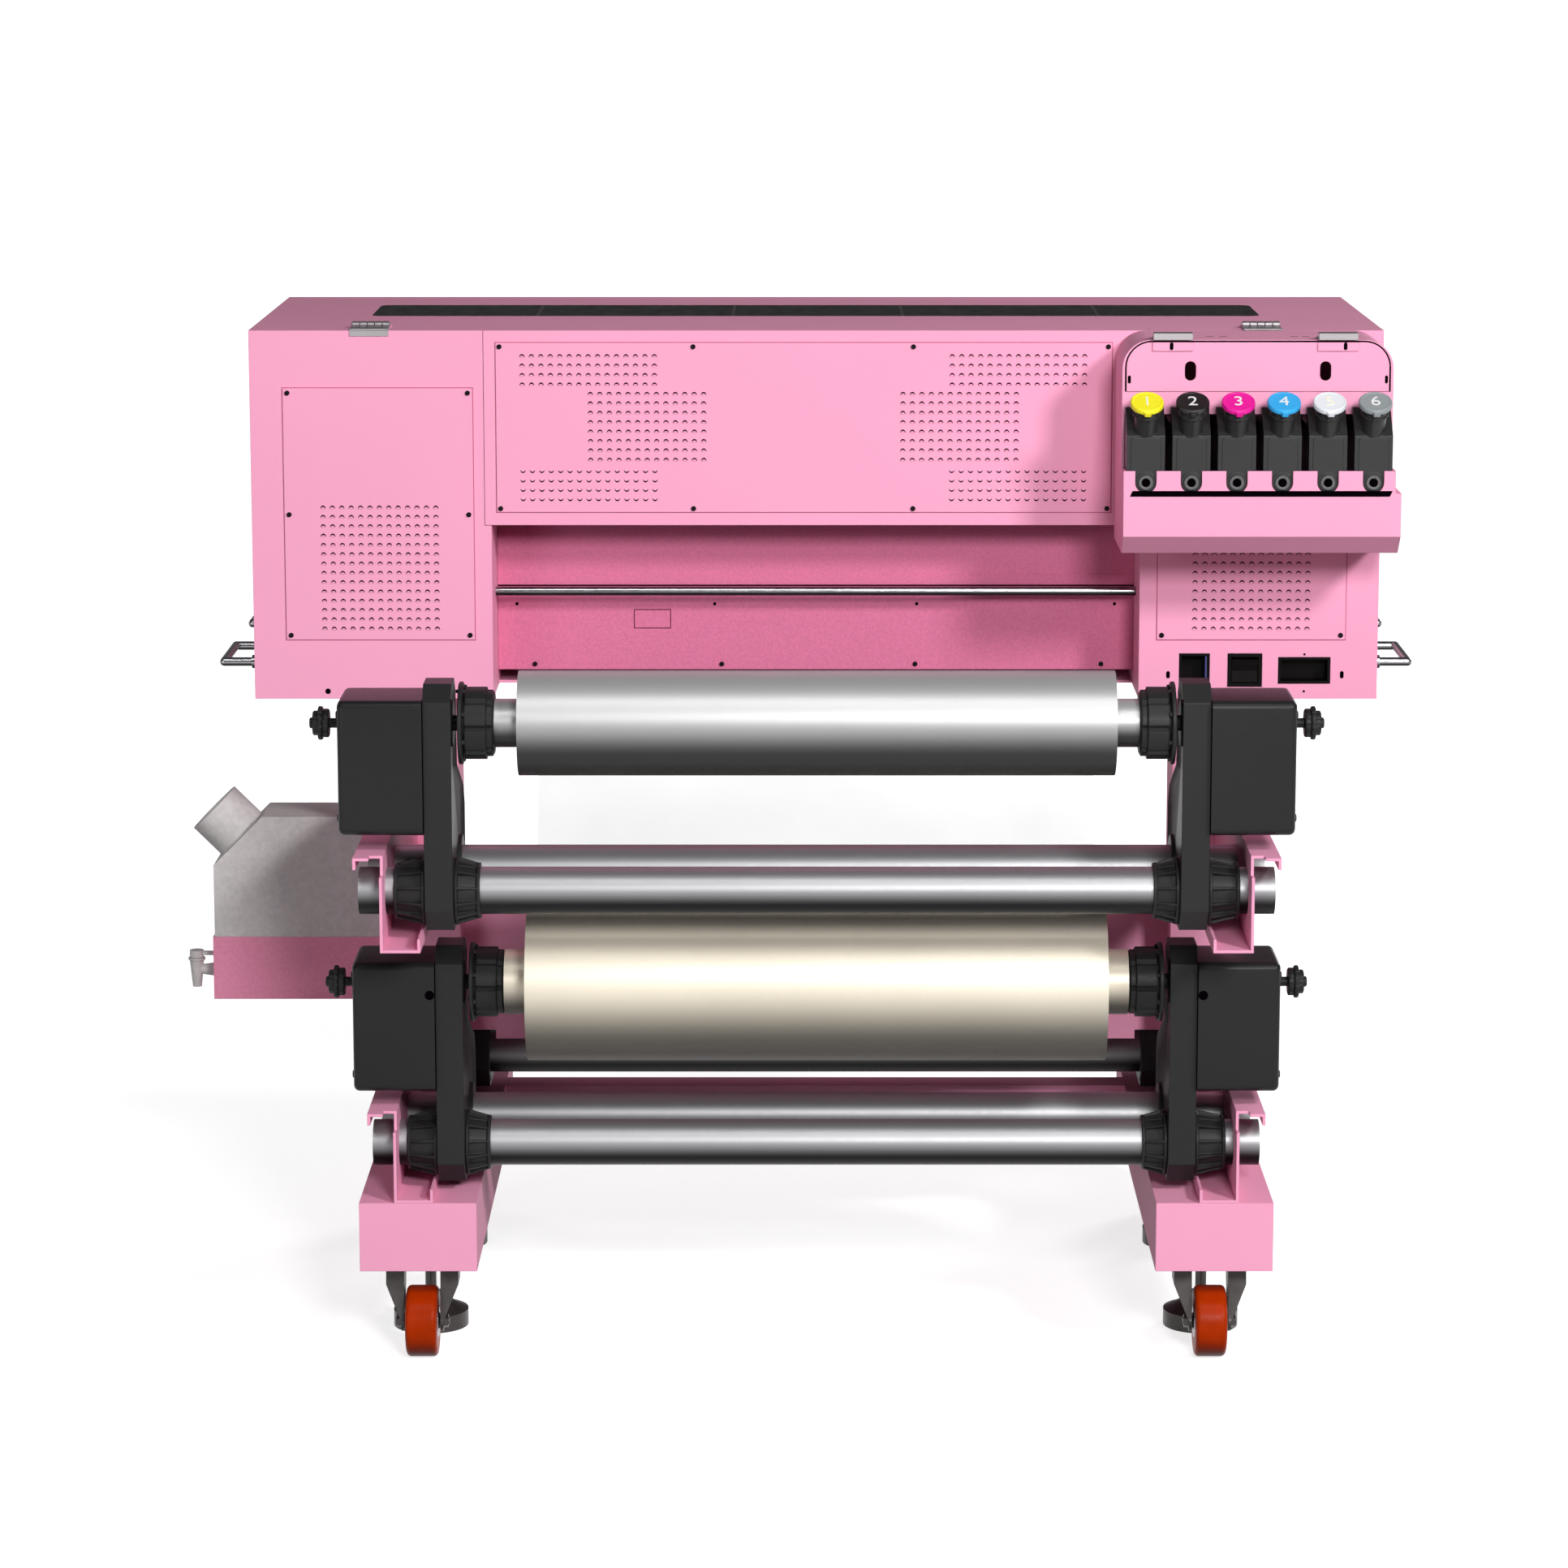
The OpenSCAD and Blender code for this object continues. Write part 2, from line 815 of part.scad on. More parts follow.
// Smoked window, held by a wider flange under the lid
module lid_window() {
    color([0.05, 0.05, 0.05])
        translate([0, window_y, 0]) {
            translate([0, 0, rail_z])
                linear_extrude(sheet)
                    window_outline(0);
            translate([0, 0, rail_z - 2])
                linear_extrude(2)
                    window_outline(8);
        }
}

// Two lid hinges and two flap hinges, each a barrel with its fixed leaf
module hinges() {
    color(steel) {
        both_sides() {
            rod_x(hinge_x - 20, hinge_x + 20, [strip_y, top_z + 4], 3.5);
            block([hinge_x - 20, strip_y - 24, top_z], [hinge_x + 20, strip_y, top_z + 2]);
        }
        for (x = flap_hinges) {
            rod_x(x - 21, x + 21, [station_y - 1, top_z + 4], 3.5);
            block([x - 21, station_y, top_z], [x + 21, station_y + 26, top_z + 2]);
        }
    }
}

// ---- Ink station ----

// Outline in x and z with two rounded upper corners
module round_top(x0, x1, z0, z1, r) {
    translate([x0, z0])
        square([x1 - x0, z1 - z0 - r]);
    translate([x0 + r, z0])
        square([x1 - x0 - 2 * r, z1 - z0]);
    for (x = [x0 + r, x1 - r])
        translate([x, z1 - r])
            circle(r);
}

// Open-backed shell: rounded upper box, notched apron and a chamfered tray
module ink_station() {
    x0 = station_x;
    x1 = station_end;
    t = sheet;
    y1 = station_back;
    apron_y = tray_y + 1;
    apron_z = tray_top + apron_h;
    color(pink)
        difference() {
            union() {
                along_y(station_y, y1)
                    round_top(x0, x1, tray_z, top_z, station_r);
                along_x(x0, x1 + 6)
                    polygon([
                        [y1, tray_z - 20], [tray_y + 24, tray_z - 20], [tray_y, tray_z],
                        [tray_y, tray_top], [y1, tray_top]
                    ]);
                block([x0, apron_y, tray_top - 1], [x1, station_y + 1, apron_z]);
            }
            // Hollow behind the flap and above the tray floor
            along_y(station_y + t, y1 + 1)
                round_top(x0 + t, x1 - t, tray_z + t, top_z - t, station_r - t);
            block([x0 + t, apron_y + t, tray_z + t], [x1 - t, y1 + 1, apron_z + 1]);
            // Opening in which the tanks stand, and the opening of the flap
            block([x0 + t, apron_y, apron_z], [x1 - t, station_y + t + 1, tank_top - 8]);
            along_y(station_y - 1, station_y + t + 1)
                round_top(x0 + 4, x1 - 4, flap_z, top_z - 2, station_r - 4);
            // Notches of the apron
            for (i = [0:5]) {
                rod_y(tank_x + i * tank_pitch, apron_y - 1, apron_y + t + 1, spigot_z, 11);
                block([tank_x + i * tank_pitch - 11, apron_y - 1, spigot_z],
                      [tank_x + i * tank_pitch + 11, apron_y + t + 1, apron_z + 1]);
            }
        }
}

// Flap with rounded upper corners, two finger slots and its hinge leaves
module ink_flap() {
    x0 = station_x + 4 + seam;
    x1 = station_end - 4 - seam;
    mid = (x0 + x1) / 2;
    z1 = top_z - 2 - seam;
    slot_z = flap_z + 17.5;
    slot_r = 5.8;
    color(pink) {
        difference() {
            along_y(station_y, station_y + sheet)
                round_top(x0, x1, flap_z + seam, z1, station_r - 4 - seam);
            for (x = [mid - 70, mid + 70]) {
                for (z = [slot_z, slot_z + 8.5])
                    rod_y(x, station_y - 1, station_y + sheet + 1, z, slot_r);
                block([x - slot_r, station_y - 1, slot_z],
                      [x + slot_r, station_y + sheet + 1, slot_z + 8.5]);
            }
        }
        for (x = flap_hinges)
            block([x - 21, station_y - 2, z1 - 9], [x + 21, station_y, z1]);
    }
}

// Tank with a bevelled shoulder, a slanted neck and an outlet spigot
module ink_tank() {
    half = tank_w / 2;
    front = station_y - 3;
    back = station_back - 12;
    along_x(-half, half)
        polygon([
            [tank_y, tank_z], [tank_y, tank_top - tank_bevel], [tank_y + tank_bevel, tank_top],
            [front, tank_top], [front, tank_top - 18], [back, tank_top - 18], [back, tank_z]
        ]);
    translate(neck_foot)
        rotate([neck_lean, 0, 0])
            translate([0, 0, -8])
                cylinder(h = neck_l + 8, r = 13.5);
    rod_y(0, tray_y, tank_y + 1, spigot_z, 6);
}

module ink_tanks() {
    color(black)
        for (i = [0:5])
            translate([tank_x + i * tank_pitch, 0, 0])
                ink_tank();
}

module ink_caps() {
    colors = ["yellow", black, "magenta", "deepskyblue", "white", "grey"];
    for (i = [0:5])
        color(colors[i])
            translate([tank_x + i * tank_pitch, 0, 0] + neck_foot)
                rotate([neck_lean, 0, 0])
                    translate([0, 0, neck_l])
                        cylinder(h = 6, r = cap_d / 2);
}

// ---- Film transport and printing ----

module gantry_beam() {
    x = body_x - 30;
    color([0.7, 0.7, 0.72])
        difference() {
            block([-x, beam_y, beam_z], [x, beam_y + beam_w, beam_z + beam_h]);
            block([-x - 1, beam_y + 5, beam_z + 5], [x + 1, beam_y + beam_w - 5, beam_z + beam_h - 5]);
        }
}

// Carriage body behind the beam, hooked over it, with print head and lamp
module print_carriage() {
    x0 = carriage_x - carriage_w / 2;
    x1 = carriage_x + carriage_w / 2;
    gap = 0.4;
    low = inner_top + 16;
    color([0.85, 0.85, 0.86]) {
        block([x0, beam_y - 85, low + 14], [x1, beam_y - gap, beam_z + beam_h + gap]);
        block([x0, beam_y - 85, beam_z + beam_h + gap],
              [x1, beam_y + beam_w + gap, beam_z + beam_h + 6]);
        block([x0, beam_y + beam_w + gap, beam_z + 30], [x1, beam_y + beam_w + 6, beam_z + beam_h + 6]);
        block([x0 + 15, beam_y - 75, low], [x1 - 35, beam_y - 20, low + 14]);
        block([x1 - 25, beam_y - 70, low], [x1 - 5, beam_y - 25, low + 14]);
    }
}

// Toothed belt loop behind the beam's front face, its pulleys and its motor
module carriage_drive() {
    y0 = beam_y + beam_w + 12;
    z0 = beam_z + 18;
    pulley_x = body_x - 50;
    r = 12;
    color(black) {
        for (z = [z0 - r, z0 + r - 1.5])
            block([-pulley_x, y0, z], [pulley_x, y0 + 8, z + 1.5]);
        both_sides()
            rod_y(pulley_x, y0, y0 + 8, z0, r);
        both_sides()
            rod_y(pulley_x, beam_y + beam_w, y0, z0, 5);
        block([-pulley_x - 21, y0 + 8, z0 - 21], [-pulley_x + 21, y0 + 48, z0 + 21]);
    }
}

module roller(z, r, journal) {
    x = inner_x - 0.4;
    rod_x(-x, x, [roller_y, z], r);
    rod_x(-x - 8, x + 8, [roller_y, z], journal);
}

module feed_roller() {
    color(steel)
        roller(roller_z, roller_r, 5);
}

module pinch_rollers() {
    color(black)
        roller(pinch_z, pinch_r, 4);
}

module idler_rod() {
    x = inner_x - 0.4;
    color(steel) {
        rod_x(-x, x, [rod_y, rod_z], rod_r);
        rod_x(-x - 8, x + 8, [rod_y, rod_z], 3);
    }
}

// Film from the lower roll, tangent to it, up to the slot under the recess
module film_web() {
    r = lower_roll_d / 2 + 0.5;
    enter = [recess_y - 16, body_z + 14];
    reach = enter - lower_axis;
    span = norm(reach);
    lean = atan2(reach[1], reach[0]) - acos(r / span);
    leave = lower_axis + r * [cos(lean), sin(lean)];
    thick = 0.5 * [cos(lean), sin(lean)];
    color([0.96, 0.96, 0.96])
        along_x(-film_w / 2 + 2, film_w / 2 - 2)
            polygon([leave, enter, enter + thick, leave + thick]);
}

// ---- Fume hood and waste tank ----

module hood_outline(inset) {
    cut = hood_cut + inset * 0.6;
    polygon([
        [hood_x + inset, hood_z - (inset > 0 ? 1 : 0)], [hood_in - inset, hood_z - (inset > 0 ? 1 : 0)],
        [hood_in - inset, hood_z + hood_h - inset], [hood_x + cut, hood_z + hood_h - inset],
        [hood_x + inset, hood_z + hood_h - cut]
    ]);
}

// Hood over the waste tank, with a slanted duct spigot
module exhaust_hood() {
    color(grey)
        difference() {
            union() {
                along_y(hood_y, hood_y + hood_d)
                    hood_outline(0);
                spigot_at()
                    cylinder(h = spigot_l, r = spigot_d / 2);
            }
            along_y(hood_y + sheet, hood_y + hood_d - sheet)
                hood_outline(sheet);
            spigot_at()
                translate([0, 0, -10])
                    cylinder(h = spigot_l + 11, r = spigot_d / 2 - 2);
        }
}

module spigot_at() {
    translate([hood_x + hood_cut / 2, tap_y, hood_z + hood_h - hood_cut / 2])
        rotate([0, -45, 0])
            children();
}

module waste_tank() {
    low = [hood_x - 2, hood_y, waste_z];
    high = [hood_in, hood_y + hood_d, hood_z];
    color(pink)
        difference() {
            block(low, high);
            block(low + [sheet, sheet, sheet], high - [sheet, sheet, -1]);
            translate([hood_x - 3, tap_y, tap_z])
                rotate([0, 90, 0])
                    cylinder(h = sheet + 2, r = 6);
        }
}

// Tap body: threaded tail, conical stem and a tapered barrel that points down
module drain_tap() {
    wall_x = hood_x - 2;
    color(grey)
        difference() {
            union() {
                rod_x(wall_x, wall_x + 10, [tap_y, tap_z], 5.95);
                translate([tap_x, tap_y, tap_z])
                    rotate([0, 90, 0])
                        cylinder(h = wall_x - tap_x, r1 = 4.7, r2 = 8);
                translate([tap_x, tap_y, tap_z - 19.5])
                    cylinder(h = 30.5, r1 = 5, r2 = 8);
                translate([tap_x, tap_y, tap_z + 11])
                    cylinder(h = 2.5, r = 9.4);
            }
            translate([tap_x, tap_y, tap_z - 20.5])
                cylinder(h = 17, r = 3.4);
            translate([tap_x, tap_y, tap_z - 5])
                cylinder(h = 20, r = plug_r + run);
            rod_x(tap_x, wall_x + 11, [tap_y, tap_z], 3);
        }
}

// Plug that turns in the barrel, with its hub and a short lever on top
module tap_lever() {
    color(grey)
        translate([tap_x, tap_y, tap_z]) {
            translate([0, 0, -4.5])
                cylinder(h = 19.5, r = plug_r);
            translate([0, 0, 14])
                cylinder(h = 8, r = 7.8);
            block([0, -3, 16.5], [21.5, 3, 20.5]);
        }
}

// ---- Small parts ----

// Round-bar handle that stands off the cabinet's side
module side_handle(y0) {
    y1 = y0 + handle_l;
    r = 4.75;
    z = body_z + 35;
    x = body_x + 41 - r;
    for (y = [y0, y1]) {
        rod_x(body_x, x, [y, z], r);
        rod_x(body_x, body_x + 6, [y, z], r + 2.5);
    }
    rod_y(x, y0, y1, z, r);
    for (y = [y0, y1])
        translate([x, y, z])
            sphere(r);
}

module side_handles() {
    color(steel)
        both_sides() {
            side_handle(rear_y + 34);
            side_handle(rear_y + 318);
        }
}

// Mains socket, data port and switch housing in the right cabinet's cut-outs
module power_inlet() {
    color(black)
        for (i = [0, 2]) {
            cut = sockets[i];
            difference() {
                block([cut[0] + 0.2, rear_y + 1, cut[2] + 0.2], [cut[1] - 0.2, rear_y + 28, cut[3] - 0.2]);
                block([cut[0] + 3, rear_y, cut[2] + 3], [cut[1] - 3, rear_y + 22, cut[3] - 3]);
            }
        }
    cut = sockets[1];
    color(black)
        difference() {
            block([cut[0] + 0.2, rear_y - 1, cut[2] + 0.2], [cut[1] - 0.2, rear_y + 28, cut[3] - 0.2]);
            block([cut[0] + 4, rear_y - 2, cut[2] + 4], [cut[1] - 4, rear_y + 24, cut[3] - 4]);
        }
}

// Rocker that tips about a pin along x
module power_switch() {
    cut = sockets[1];
    color(black)
        translate([0, switch_y, switch_z])
            rotate([7, 0, 0])
                along_x(cut[0] + 4.5, cut[1] - 4.5)
                    polygon([[-9, -12.5], [-6, 0], [-9, 12.5], [2, 12.5], [6, 0], [2, -12.5]]);
}

module screw(x, z, y) {
    rod_y(x, y - 1.5, y, z, 2.6);
}

module fasteners() {
    cover_y = rear_y - 1.5;
    mid_z = (panel_z0 + panel_z1) / 2;
    color([0.2, 0.2, 0.2]) {
        for (x = [panel_x0 + 5, panel_x1 - 5], z = [panel_z0 + 5, mid_z, panel_z1 - 5]) {
            screw(-x, z, cover_y);
            if (z < tray_z - 25)
                screw(x, z, cover_y);
        }
        for (x = [-inner_x + 10, -130, 103, inner_x - 36], z = [cover_z + 18, top_z - 17])
            screw(x, z, cover_y);
        for (x = [-inner_x + 40, -102, 108, inner_x - 35], z = [body_z + 24, rod_z - 6])
            screw(x, z, recess_y);
        // Nuts of the levelling feet
        for (x = [-foot_x, foot_x], y = [-pad_y, pad_y])
            translate([x, y, caster_h - 8])
                difference() {
                    cylinder(h = 8, r = 11, $fn = 6);
                    translate([0, 0, -1])
                        cylinder(h = 10, r = 6 + run);
                }
    }
}

foot_left();
foot_right();
columns();
cross_beam();
control_cabinet();
tube_brackets();
roll_tubes();
upper_arms();
lower_arms();
front_arms();
tube_clamps();
drive_boxes();
upper_film_roll();
upper_chucks();
lower_film_roll();
lower_chucks();
takeup_core();
takeup_chucks();
caster_fork_rear_left();
caster_fork_rear_right();
caster_fork_front_left();
caster_fork_front_right();
caster_wheel_rear_left();
caster_wheel_rear_right();
caster_wheel_front_left();
caster_wheel_front_right();
levelling_foot_rear_left();
levelling_foot_rear_right();
levelling_foot_front_left();
levelling_foot_front_right();
cabinet_left();
cabinet_right();
base_pan();
rear_cover();
access_panels();
recess_panels();
front_cover();
platen();
top_lid();
lid_window();
hinges();
ink_station();
ink_flap();
ink_tanks();
ink_caps();
gantry_beam();
print_carriage();
carriage_drive();
feed_roller();
pinch_rollers();
idler_rod();
exhaust_hood();
waste_tank();
drain_tap();
tap_lever();
side_handles();
film_web();
power_inlet();
power_switch();
fasteners();
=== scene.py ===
import math

import bmesh
import bpy
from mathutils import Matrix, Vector


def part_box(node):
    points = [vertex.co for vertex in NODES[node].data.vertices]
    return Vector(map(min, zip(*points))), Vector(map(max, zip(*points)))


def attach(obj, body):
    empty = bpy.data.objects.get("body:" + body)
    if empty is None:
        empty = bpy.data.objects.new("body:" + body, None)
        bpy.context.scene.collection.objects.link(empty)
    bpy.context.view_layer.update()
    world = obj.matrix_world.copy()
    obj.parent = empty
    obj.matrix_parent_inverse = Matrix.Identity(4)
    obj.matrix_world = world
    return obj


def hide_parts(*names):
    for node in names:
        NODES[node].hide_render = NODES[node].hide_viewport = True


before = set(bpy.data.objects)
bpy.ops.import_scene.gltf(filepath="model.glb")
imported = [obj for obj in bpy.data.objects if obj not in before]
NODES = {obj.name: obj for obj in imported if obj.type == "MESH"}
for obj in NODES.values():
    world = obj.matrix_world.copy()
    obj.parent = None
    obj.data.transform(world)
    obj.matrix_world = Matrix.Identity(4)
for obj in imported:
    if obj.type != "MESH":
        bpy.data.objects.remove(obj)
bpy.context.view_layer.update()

MM = 0.001

# ---- Camera, floor and light ----

CAMERA_PLACE = (-0.0155, -5.394, 1.528)
CAMERA_PITCH_DOWN = 10.17
CAMERA_LENS, CAMERA_SENSOR = 115.4, 36
CAMERA_SHIFT_X = -0.0111
CAMERA_REACH = 1000

WORLD_STRENGTH = 0.10
FLOOR_HALF = 400
FLOOR_Z = -0.0005
FLOOR_TONE = 0.86
FLOOR_BOUNCE = 0.10
FLOOR_GLOW = 0.72
FLOOR_NEAR, FLOOR_FAR = 1.2, 3.2

# Name, place, aim, size, power, and whether it is seen in reflections only.
LAMPS = [
    ("front_key", (0.9, -5.1, 2.45), (0.1, 0, 0.75), (0.8, 0.8), 136, False),
    ("high_key", (2.9, -4.0, 3.2), (0.1, 0, 0.75), (0.7, 0.7), 162, False),
    ("fill", (-3.0, -4.6, 1.3), (0, 0, 0.7), (2.0, 2.0), 46, False),
    ("front_fill", (3.2, 3.9, 1.9), (0, 0, 0.7), (1.4, 1.2), 75, False),
    ("top_strip", (0.2, -2.3, 3.5), (0.1, -0.3, 0.6), (3.0, 0.3), 42, True),
    ("side_fill", (-4.0, 3.0, 1.9), (0, 0, 0.7), (1.2, 1.2), 22, False),
]


def socket(node, name, value):
    node.inputs[name].default_value = value


def add_camera():
    data = bpy.data.cameras.new("camera")
    data.sensor_width = CAMERA_SENSOR
    data.lens = CAMERA_LENS
    data.shift_x = CAMERA_SHIFT_X
    data.clip_end = CAMERA_REACH
    cam = bpy.data.objects.new("camera", data)
    cam.location = CAMERA_PLACE
    cam.rotation_euler = (math.radians(90 - CAMERA_PITCH_DOWN), 0, 0)
    bpy.context.scene.collection.objects.link(cam)
    bpy.context.scene.camera = cam


def add_lamp(name, place, aim, size, power, mirrored_only):
    data = bpy.data.lights.new(name, "AREA")
    data.shape = "RECTANGLE"
    data.size, data.size_y = size
    data.energy = power
    lamp = bpy.data.objects.new(name, data)
    lamp.location = place
    lamp.rotation_euler = (Vector(aim) - Vector(place)).to_track_quat("-Z", "Y").to_euler()
    lamp.visible_diffuse = not mirrored_only
    bpy.context.scene.collection.objects.link(lamp)


def add_world():
    world = bpy.data.worlds.new("studio")
    bpy.context.scene.world = world
    world.use_nodes = True
    soft = world.node_tree.nodes["Background"]
    socket(soft, "Color", (1, 1, 1, 1))
    socket(soft, "Strength", WORLD_STRENGTH)


def seen_directly(tree):
    """1 for rays from the eye, a mirror or glass, and 0 for the light that the surface gives to others."""
    path = tree.nodes.new("ShaderNodeLightPath")
    most = path.outputs["Is Camera Ray"]
    for other in ("Is Glossy Ray", "Is Transmission Ray"):
        either = tree.nodes.new("ShaderNodeMath")
        either.operation = "MAXIMUM"
        tree.links.new(most, either.inputs[0])
        tree.links.new(path.outputs[other], either.inputs[1])
        most = either.outputs["Value"]
    return most


def add_floor():
    """Pale floor that glows more with distance, so that it stays white where the lamps fade."""
    mesh = bpy.data.meshes.new("floor")
    square = [(FLOOR_HALF * x, FLOOR_HALF * y, 0) for x, y in ((-1, -1), (1, -1), (1, 1), (-1, 1))]
    mesh.from_pydata(square, [], [(0, 1, 2, 3)])
    floor = bpy.data.objects.new("floor", mesh)
    floor.location.z = FLOOR_Z
    bpy.context.scene.collection.objects.link(floor)
    mat = bpy.data.materials.new("floor")
    mat.use_nodes = True
    tree = mat.node_tree
    shader = tree.nodes["Principled BSDF"]
    socket(shader, "Roughness", 0.9)
    socket(shader, "Specular IOR Level", 0.1)
    seen = seen_directly(tree)
    tone = tree.nodes.new("ShaderNodeMix")
    tone.data_type = "RGBA"
    socket(tone, "A", (FLOOR_BOUNCE, FLOOR_BOUNCE, FLOOR_BOUNCE, 1))
    socket(tone, "B", (FLOOR_TONE, FLOOR_TONE, FLOOR_TONE, 1))
    tree.links.new(seen, tone.inputs["Factor"])
    tree.links.new(tone.outputs["Result"], shader.inputs["Base Color"])
    where = tree.nodes.new("ShaderNodeTexCoord")
    reach = tree.nodes.new("ShaderNodeVectorMath")
    reach.operation = "LENGTH"
    rise = tree.nodes.new("ShaderNodeMapRange")
    socket(rise, "From Min", FLOOR_NEAR)
    socket(rise, "From Max", FLOOR_FAR)
    socket(rise, "To Min", FLOOR_GLOW)
    socket(rise, "To Max", 1.0)
    glow = tree.nodes.new("ShaderNodeMath")
    glow.operation = "MULTIPLY"
    tree.links.new(where.outputs["Object"], reach.inputs[0])
    tree.links.new(reach.outputs["Value"], rise.inputs["Value"])
    tree.links.new(rise.outputs["Result"], glow.inputs[0])
    tree.links.new(seen, glow.inputs[1])
    tree.links.new(glow.outputs["Value"], shader.inputs["Emission Strength"])
    socket(shader, "Emission Color", (1, 1, 1, 1))
    mesh.materials.append(mat)


bpy.context.scene.view_settings.view_transform = "Standard"
add_camera()
add_world()
add_floor()
for lamp_row in LAMPS:
    add_lamp(*lamp_row)


# ---- Materials ----

NOISE_LOW, NOISE_HIGH = 0.3, 0.7
BEVEL_SAMPLES = 4


def new_material(name, color, rough, metal=0.0, specular=0.5):
    mat = bpy.data.materials.new(name)
    mat.use_nodes = True
    shader = mat.node_tree.nodes["Principled BSDF"]
    socket(shader, "Base Color", (*color, 1))
    socket(shader, "Roughness", rough)
    socket(shader, "Metallic", metal)
    socket(shader, "Specular IOR Level", specular)
    return mat, mat.node_tree, shader


def noise(tree, scale, detail=2.0, stretch=(1, 1, 1)):
    """Noise over the object's own coordinates, in metres."""
    where = tree.nodes.new("ShaderNodeTexCoord")
    squeeze = tree.nodes.new("ShaderNodeMapping")
    socket(squeeze, "Scale", stretch)
    tex = tree.nodes.new("ShaderNodeTexNoise")
    socket(tex, "Scale", scale)
    socket(tex, "Detail", detail)
    tree.links.new(where.outputs["Object"], squeeze.inputs["Vector"])
    tree.links.new(squeeze.outputs["Vector"], tex.inputs["Vector"])
    return tex.outputs["Fac"]


def spread(tree, value, low, high):
    """Maps noise from its usual range to low and high."""
    ramp = tree.nodes.new("ShaderNodeMapRange")
    socket(ramp, "From Min", NOISE_LOW)
    socket(ramp, "From Max", NOISE_HIGH)
    socket(ramp, "To Min", low)
    socket(ramp, "To Max", high)
    tree.links.new(value, ramp.inputs["Value"])
    return ramp.outputs["Result"]


def two_tone(tree, value, dark, light):
    mix = tree.nodes.new("ShaderNodeMix")
    mix.data_type = "RGBA"
    socket(mix, "A", (*dark, 1))
    socket(mix, "B", (*light, 1))
    tree.links.new(value, mix.inputs["Factor"])
    return mix.outputs["Result"]


def darker_below(tree, color, least, low, high):
    """Painted shade: fades a colour to `least` of itself between two heights of the normal, from high down
    to low, so that faces that turn downwards come out darker.
    """
    facing = tree.nodes.new("ShaderNodeNewGeometry")
    split = tree.nodes.new("ShaderNodeSeparateXYZ")
    fade = tree.nodes.new("ShaderNodeMapRange")
    socket(fade, "From Min", low)
    socket(fade, "From Max", high)
    socket(fade, "To Min", least)
    socket(fade, "To Max", 1.0)
    fade.interpolation_type = "SMOOTHSTEP"
    mix = tree.nodes.new("ShaderNodeMix")
    mix.data_type = "RGBA"
    mix.blend_type = "MULTIPLY"
    socket(mix, "Factor", 1.0)
    tree.links.new(facing.outputs["Normal"], split.inputs["Vector"])
    tree.links.new(split.outputs["Z"], fade.inputs["Value"])
    tree.links.new(color, mix.inputs["A"])
    tree.links.new(fade.outputs["Result"], mix.inputs["B"])
    return mix.outputs["Result"]


def bumpy(tree, shader, value, strength, depth_mm, edge_mm=0.0):
    """Bump from value, over edges softened by edge_mm."""
    bump = tree.nodes.new("ShaderNodeBump")
    socket(bump, "Strength", strength)
    socket(bump, "Distance", depth_mm * MM)
    tree.links.new(value, bump.inputs["Height"])
    if edge_mm:
        bevel = tree.nodes.new("ShaderNodeBevel")
        bevel.samples = BEVEL_SAMPLES
        socket(bevel, "Radius", edge_mm * MM)
        tree.links.new(bevel.outputs["Normal"], bump.inputs["Normal"])
    tree.links.new(bump.outputs["Normal"], shader.inputs["Normal"])


def shade(color, k):
    return tuple(min(1.0, c * k) for c in color)


def grained(name, color, rough, metal=0.0, specular=0.5, tint=0.04, patch=6.0, grain=900.0,
            bump=0.15, depth=0.2, edge=1.0, stretch=(1, 1, 1), rough_spread=0.05, under=None):
    """Colour that varies in soft patches, and roughness and bump from a fine grain.

    tint is the share by which the colour varies, patch and grain are noise scales in 1/m, depth and
    edge are in mm, and under is (least, low, high) of the fade that paints shade on the underside.
    """
    mat, tree, shader = new_material(name, color, rough, metal, specular)
    patches = spread(tree, noise(tree, patch, 3.0), 0.0, 1.0)
    paint = two_tone(tree, patches, shade(color, 1 - tint), shade(color, 1 + tint))
    if under:
        paint = darker_below(tree, paint, *under)
    tree.links.new(paint, shader.inputs["Base Color"])
    fine = noise(tree, grain, 2.0, stretch)
    roughness = spread(tree, fine, rough - rough_spread, rough + rough_spread)
    tree.links.new(roughness, shader.inputs["Roughness"])
    bumpy(tree, shader, fine, bump, depth, edge)
    return mat


pink_paint = grained("pink_powder_coat", (0.93, 0.385, 0.575), 0.55, specular=0.12, tint=0.012,
                     bump=0.12, grain=700, edge=1.2)
# Recess panels: a real textured grain, in a deeper pink that is painted shade of the recess.
pink_recess_painted_shade = grained("pink_textured_coat_with_painted_shade", (0.70, 0.18, 0.33), 0.65, specular=0.2, tint=0.08,
                        patch=420, bump=0.6, grain=450, depth=0.4)
pink_tank = grained("pink_waste_tank", (0.96, 0.33, 0.51), 0.65, specular=0.2, tint=0.07,
                    patch=420, bump=0.5, grain=450, depth=0.4)
black_plastic = grained("black_moulded_plastic", (0.019, 0.019, 0.020), 0.42, specular=0.14, tint=0.1,
                        bump=0.25, grain=800, edge=1.5)
black_gloss = grained("black_tank_plastic", (0.024, 0.024, 0.025), 0.33, specular=0.25, tint=0.1,
                      bump=0.08, grain=500, edge=1.2)
black_satin = grained("black_satin_cover", (0.013, 0.013, 0.014), 0.36, specular=0.16, tint=0.08,
                      bump=0.2, grain=700, edge=0)
grey_shell = grained("grey_textured_shell", (0.68, 0.65, 0.65), 0.62, specular=0.25, tint=0.07,
                     patch=160, bump=0.8, grain=320, depth=0.6, edge=1.5)
# Painted shade: the tube steel is darkened on its lower side by under.
tube_steel = grained("satin_tube_steel", (0.33, 0.33, 0.34), 0.44, metal=0.8, tint=0.02, bump=0.008,
                     grain=200, edge=0, rough_spread=0.02, under=(0.02, -0.5, 0.45))
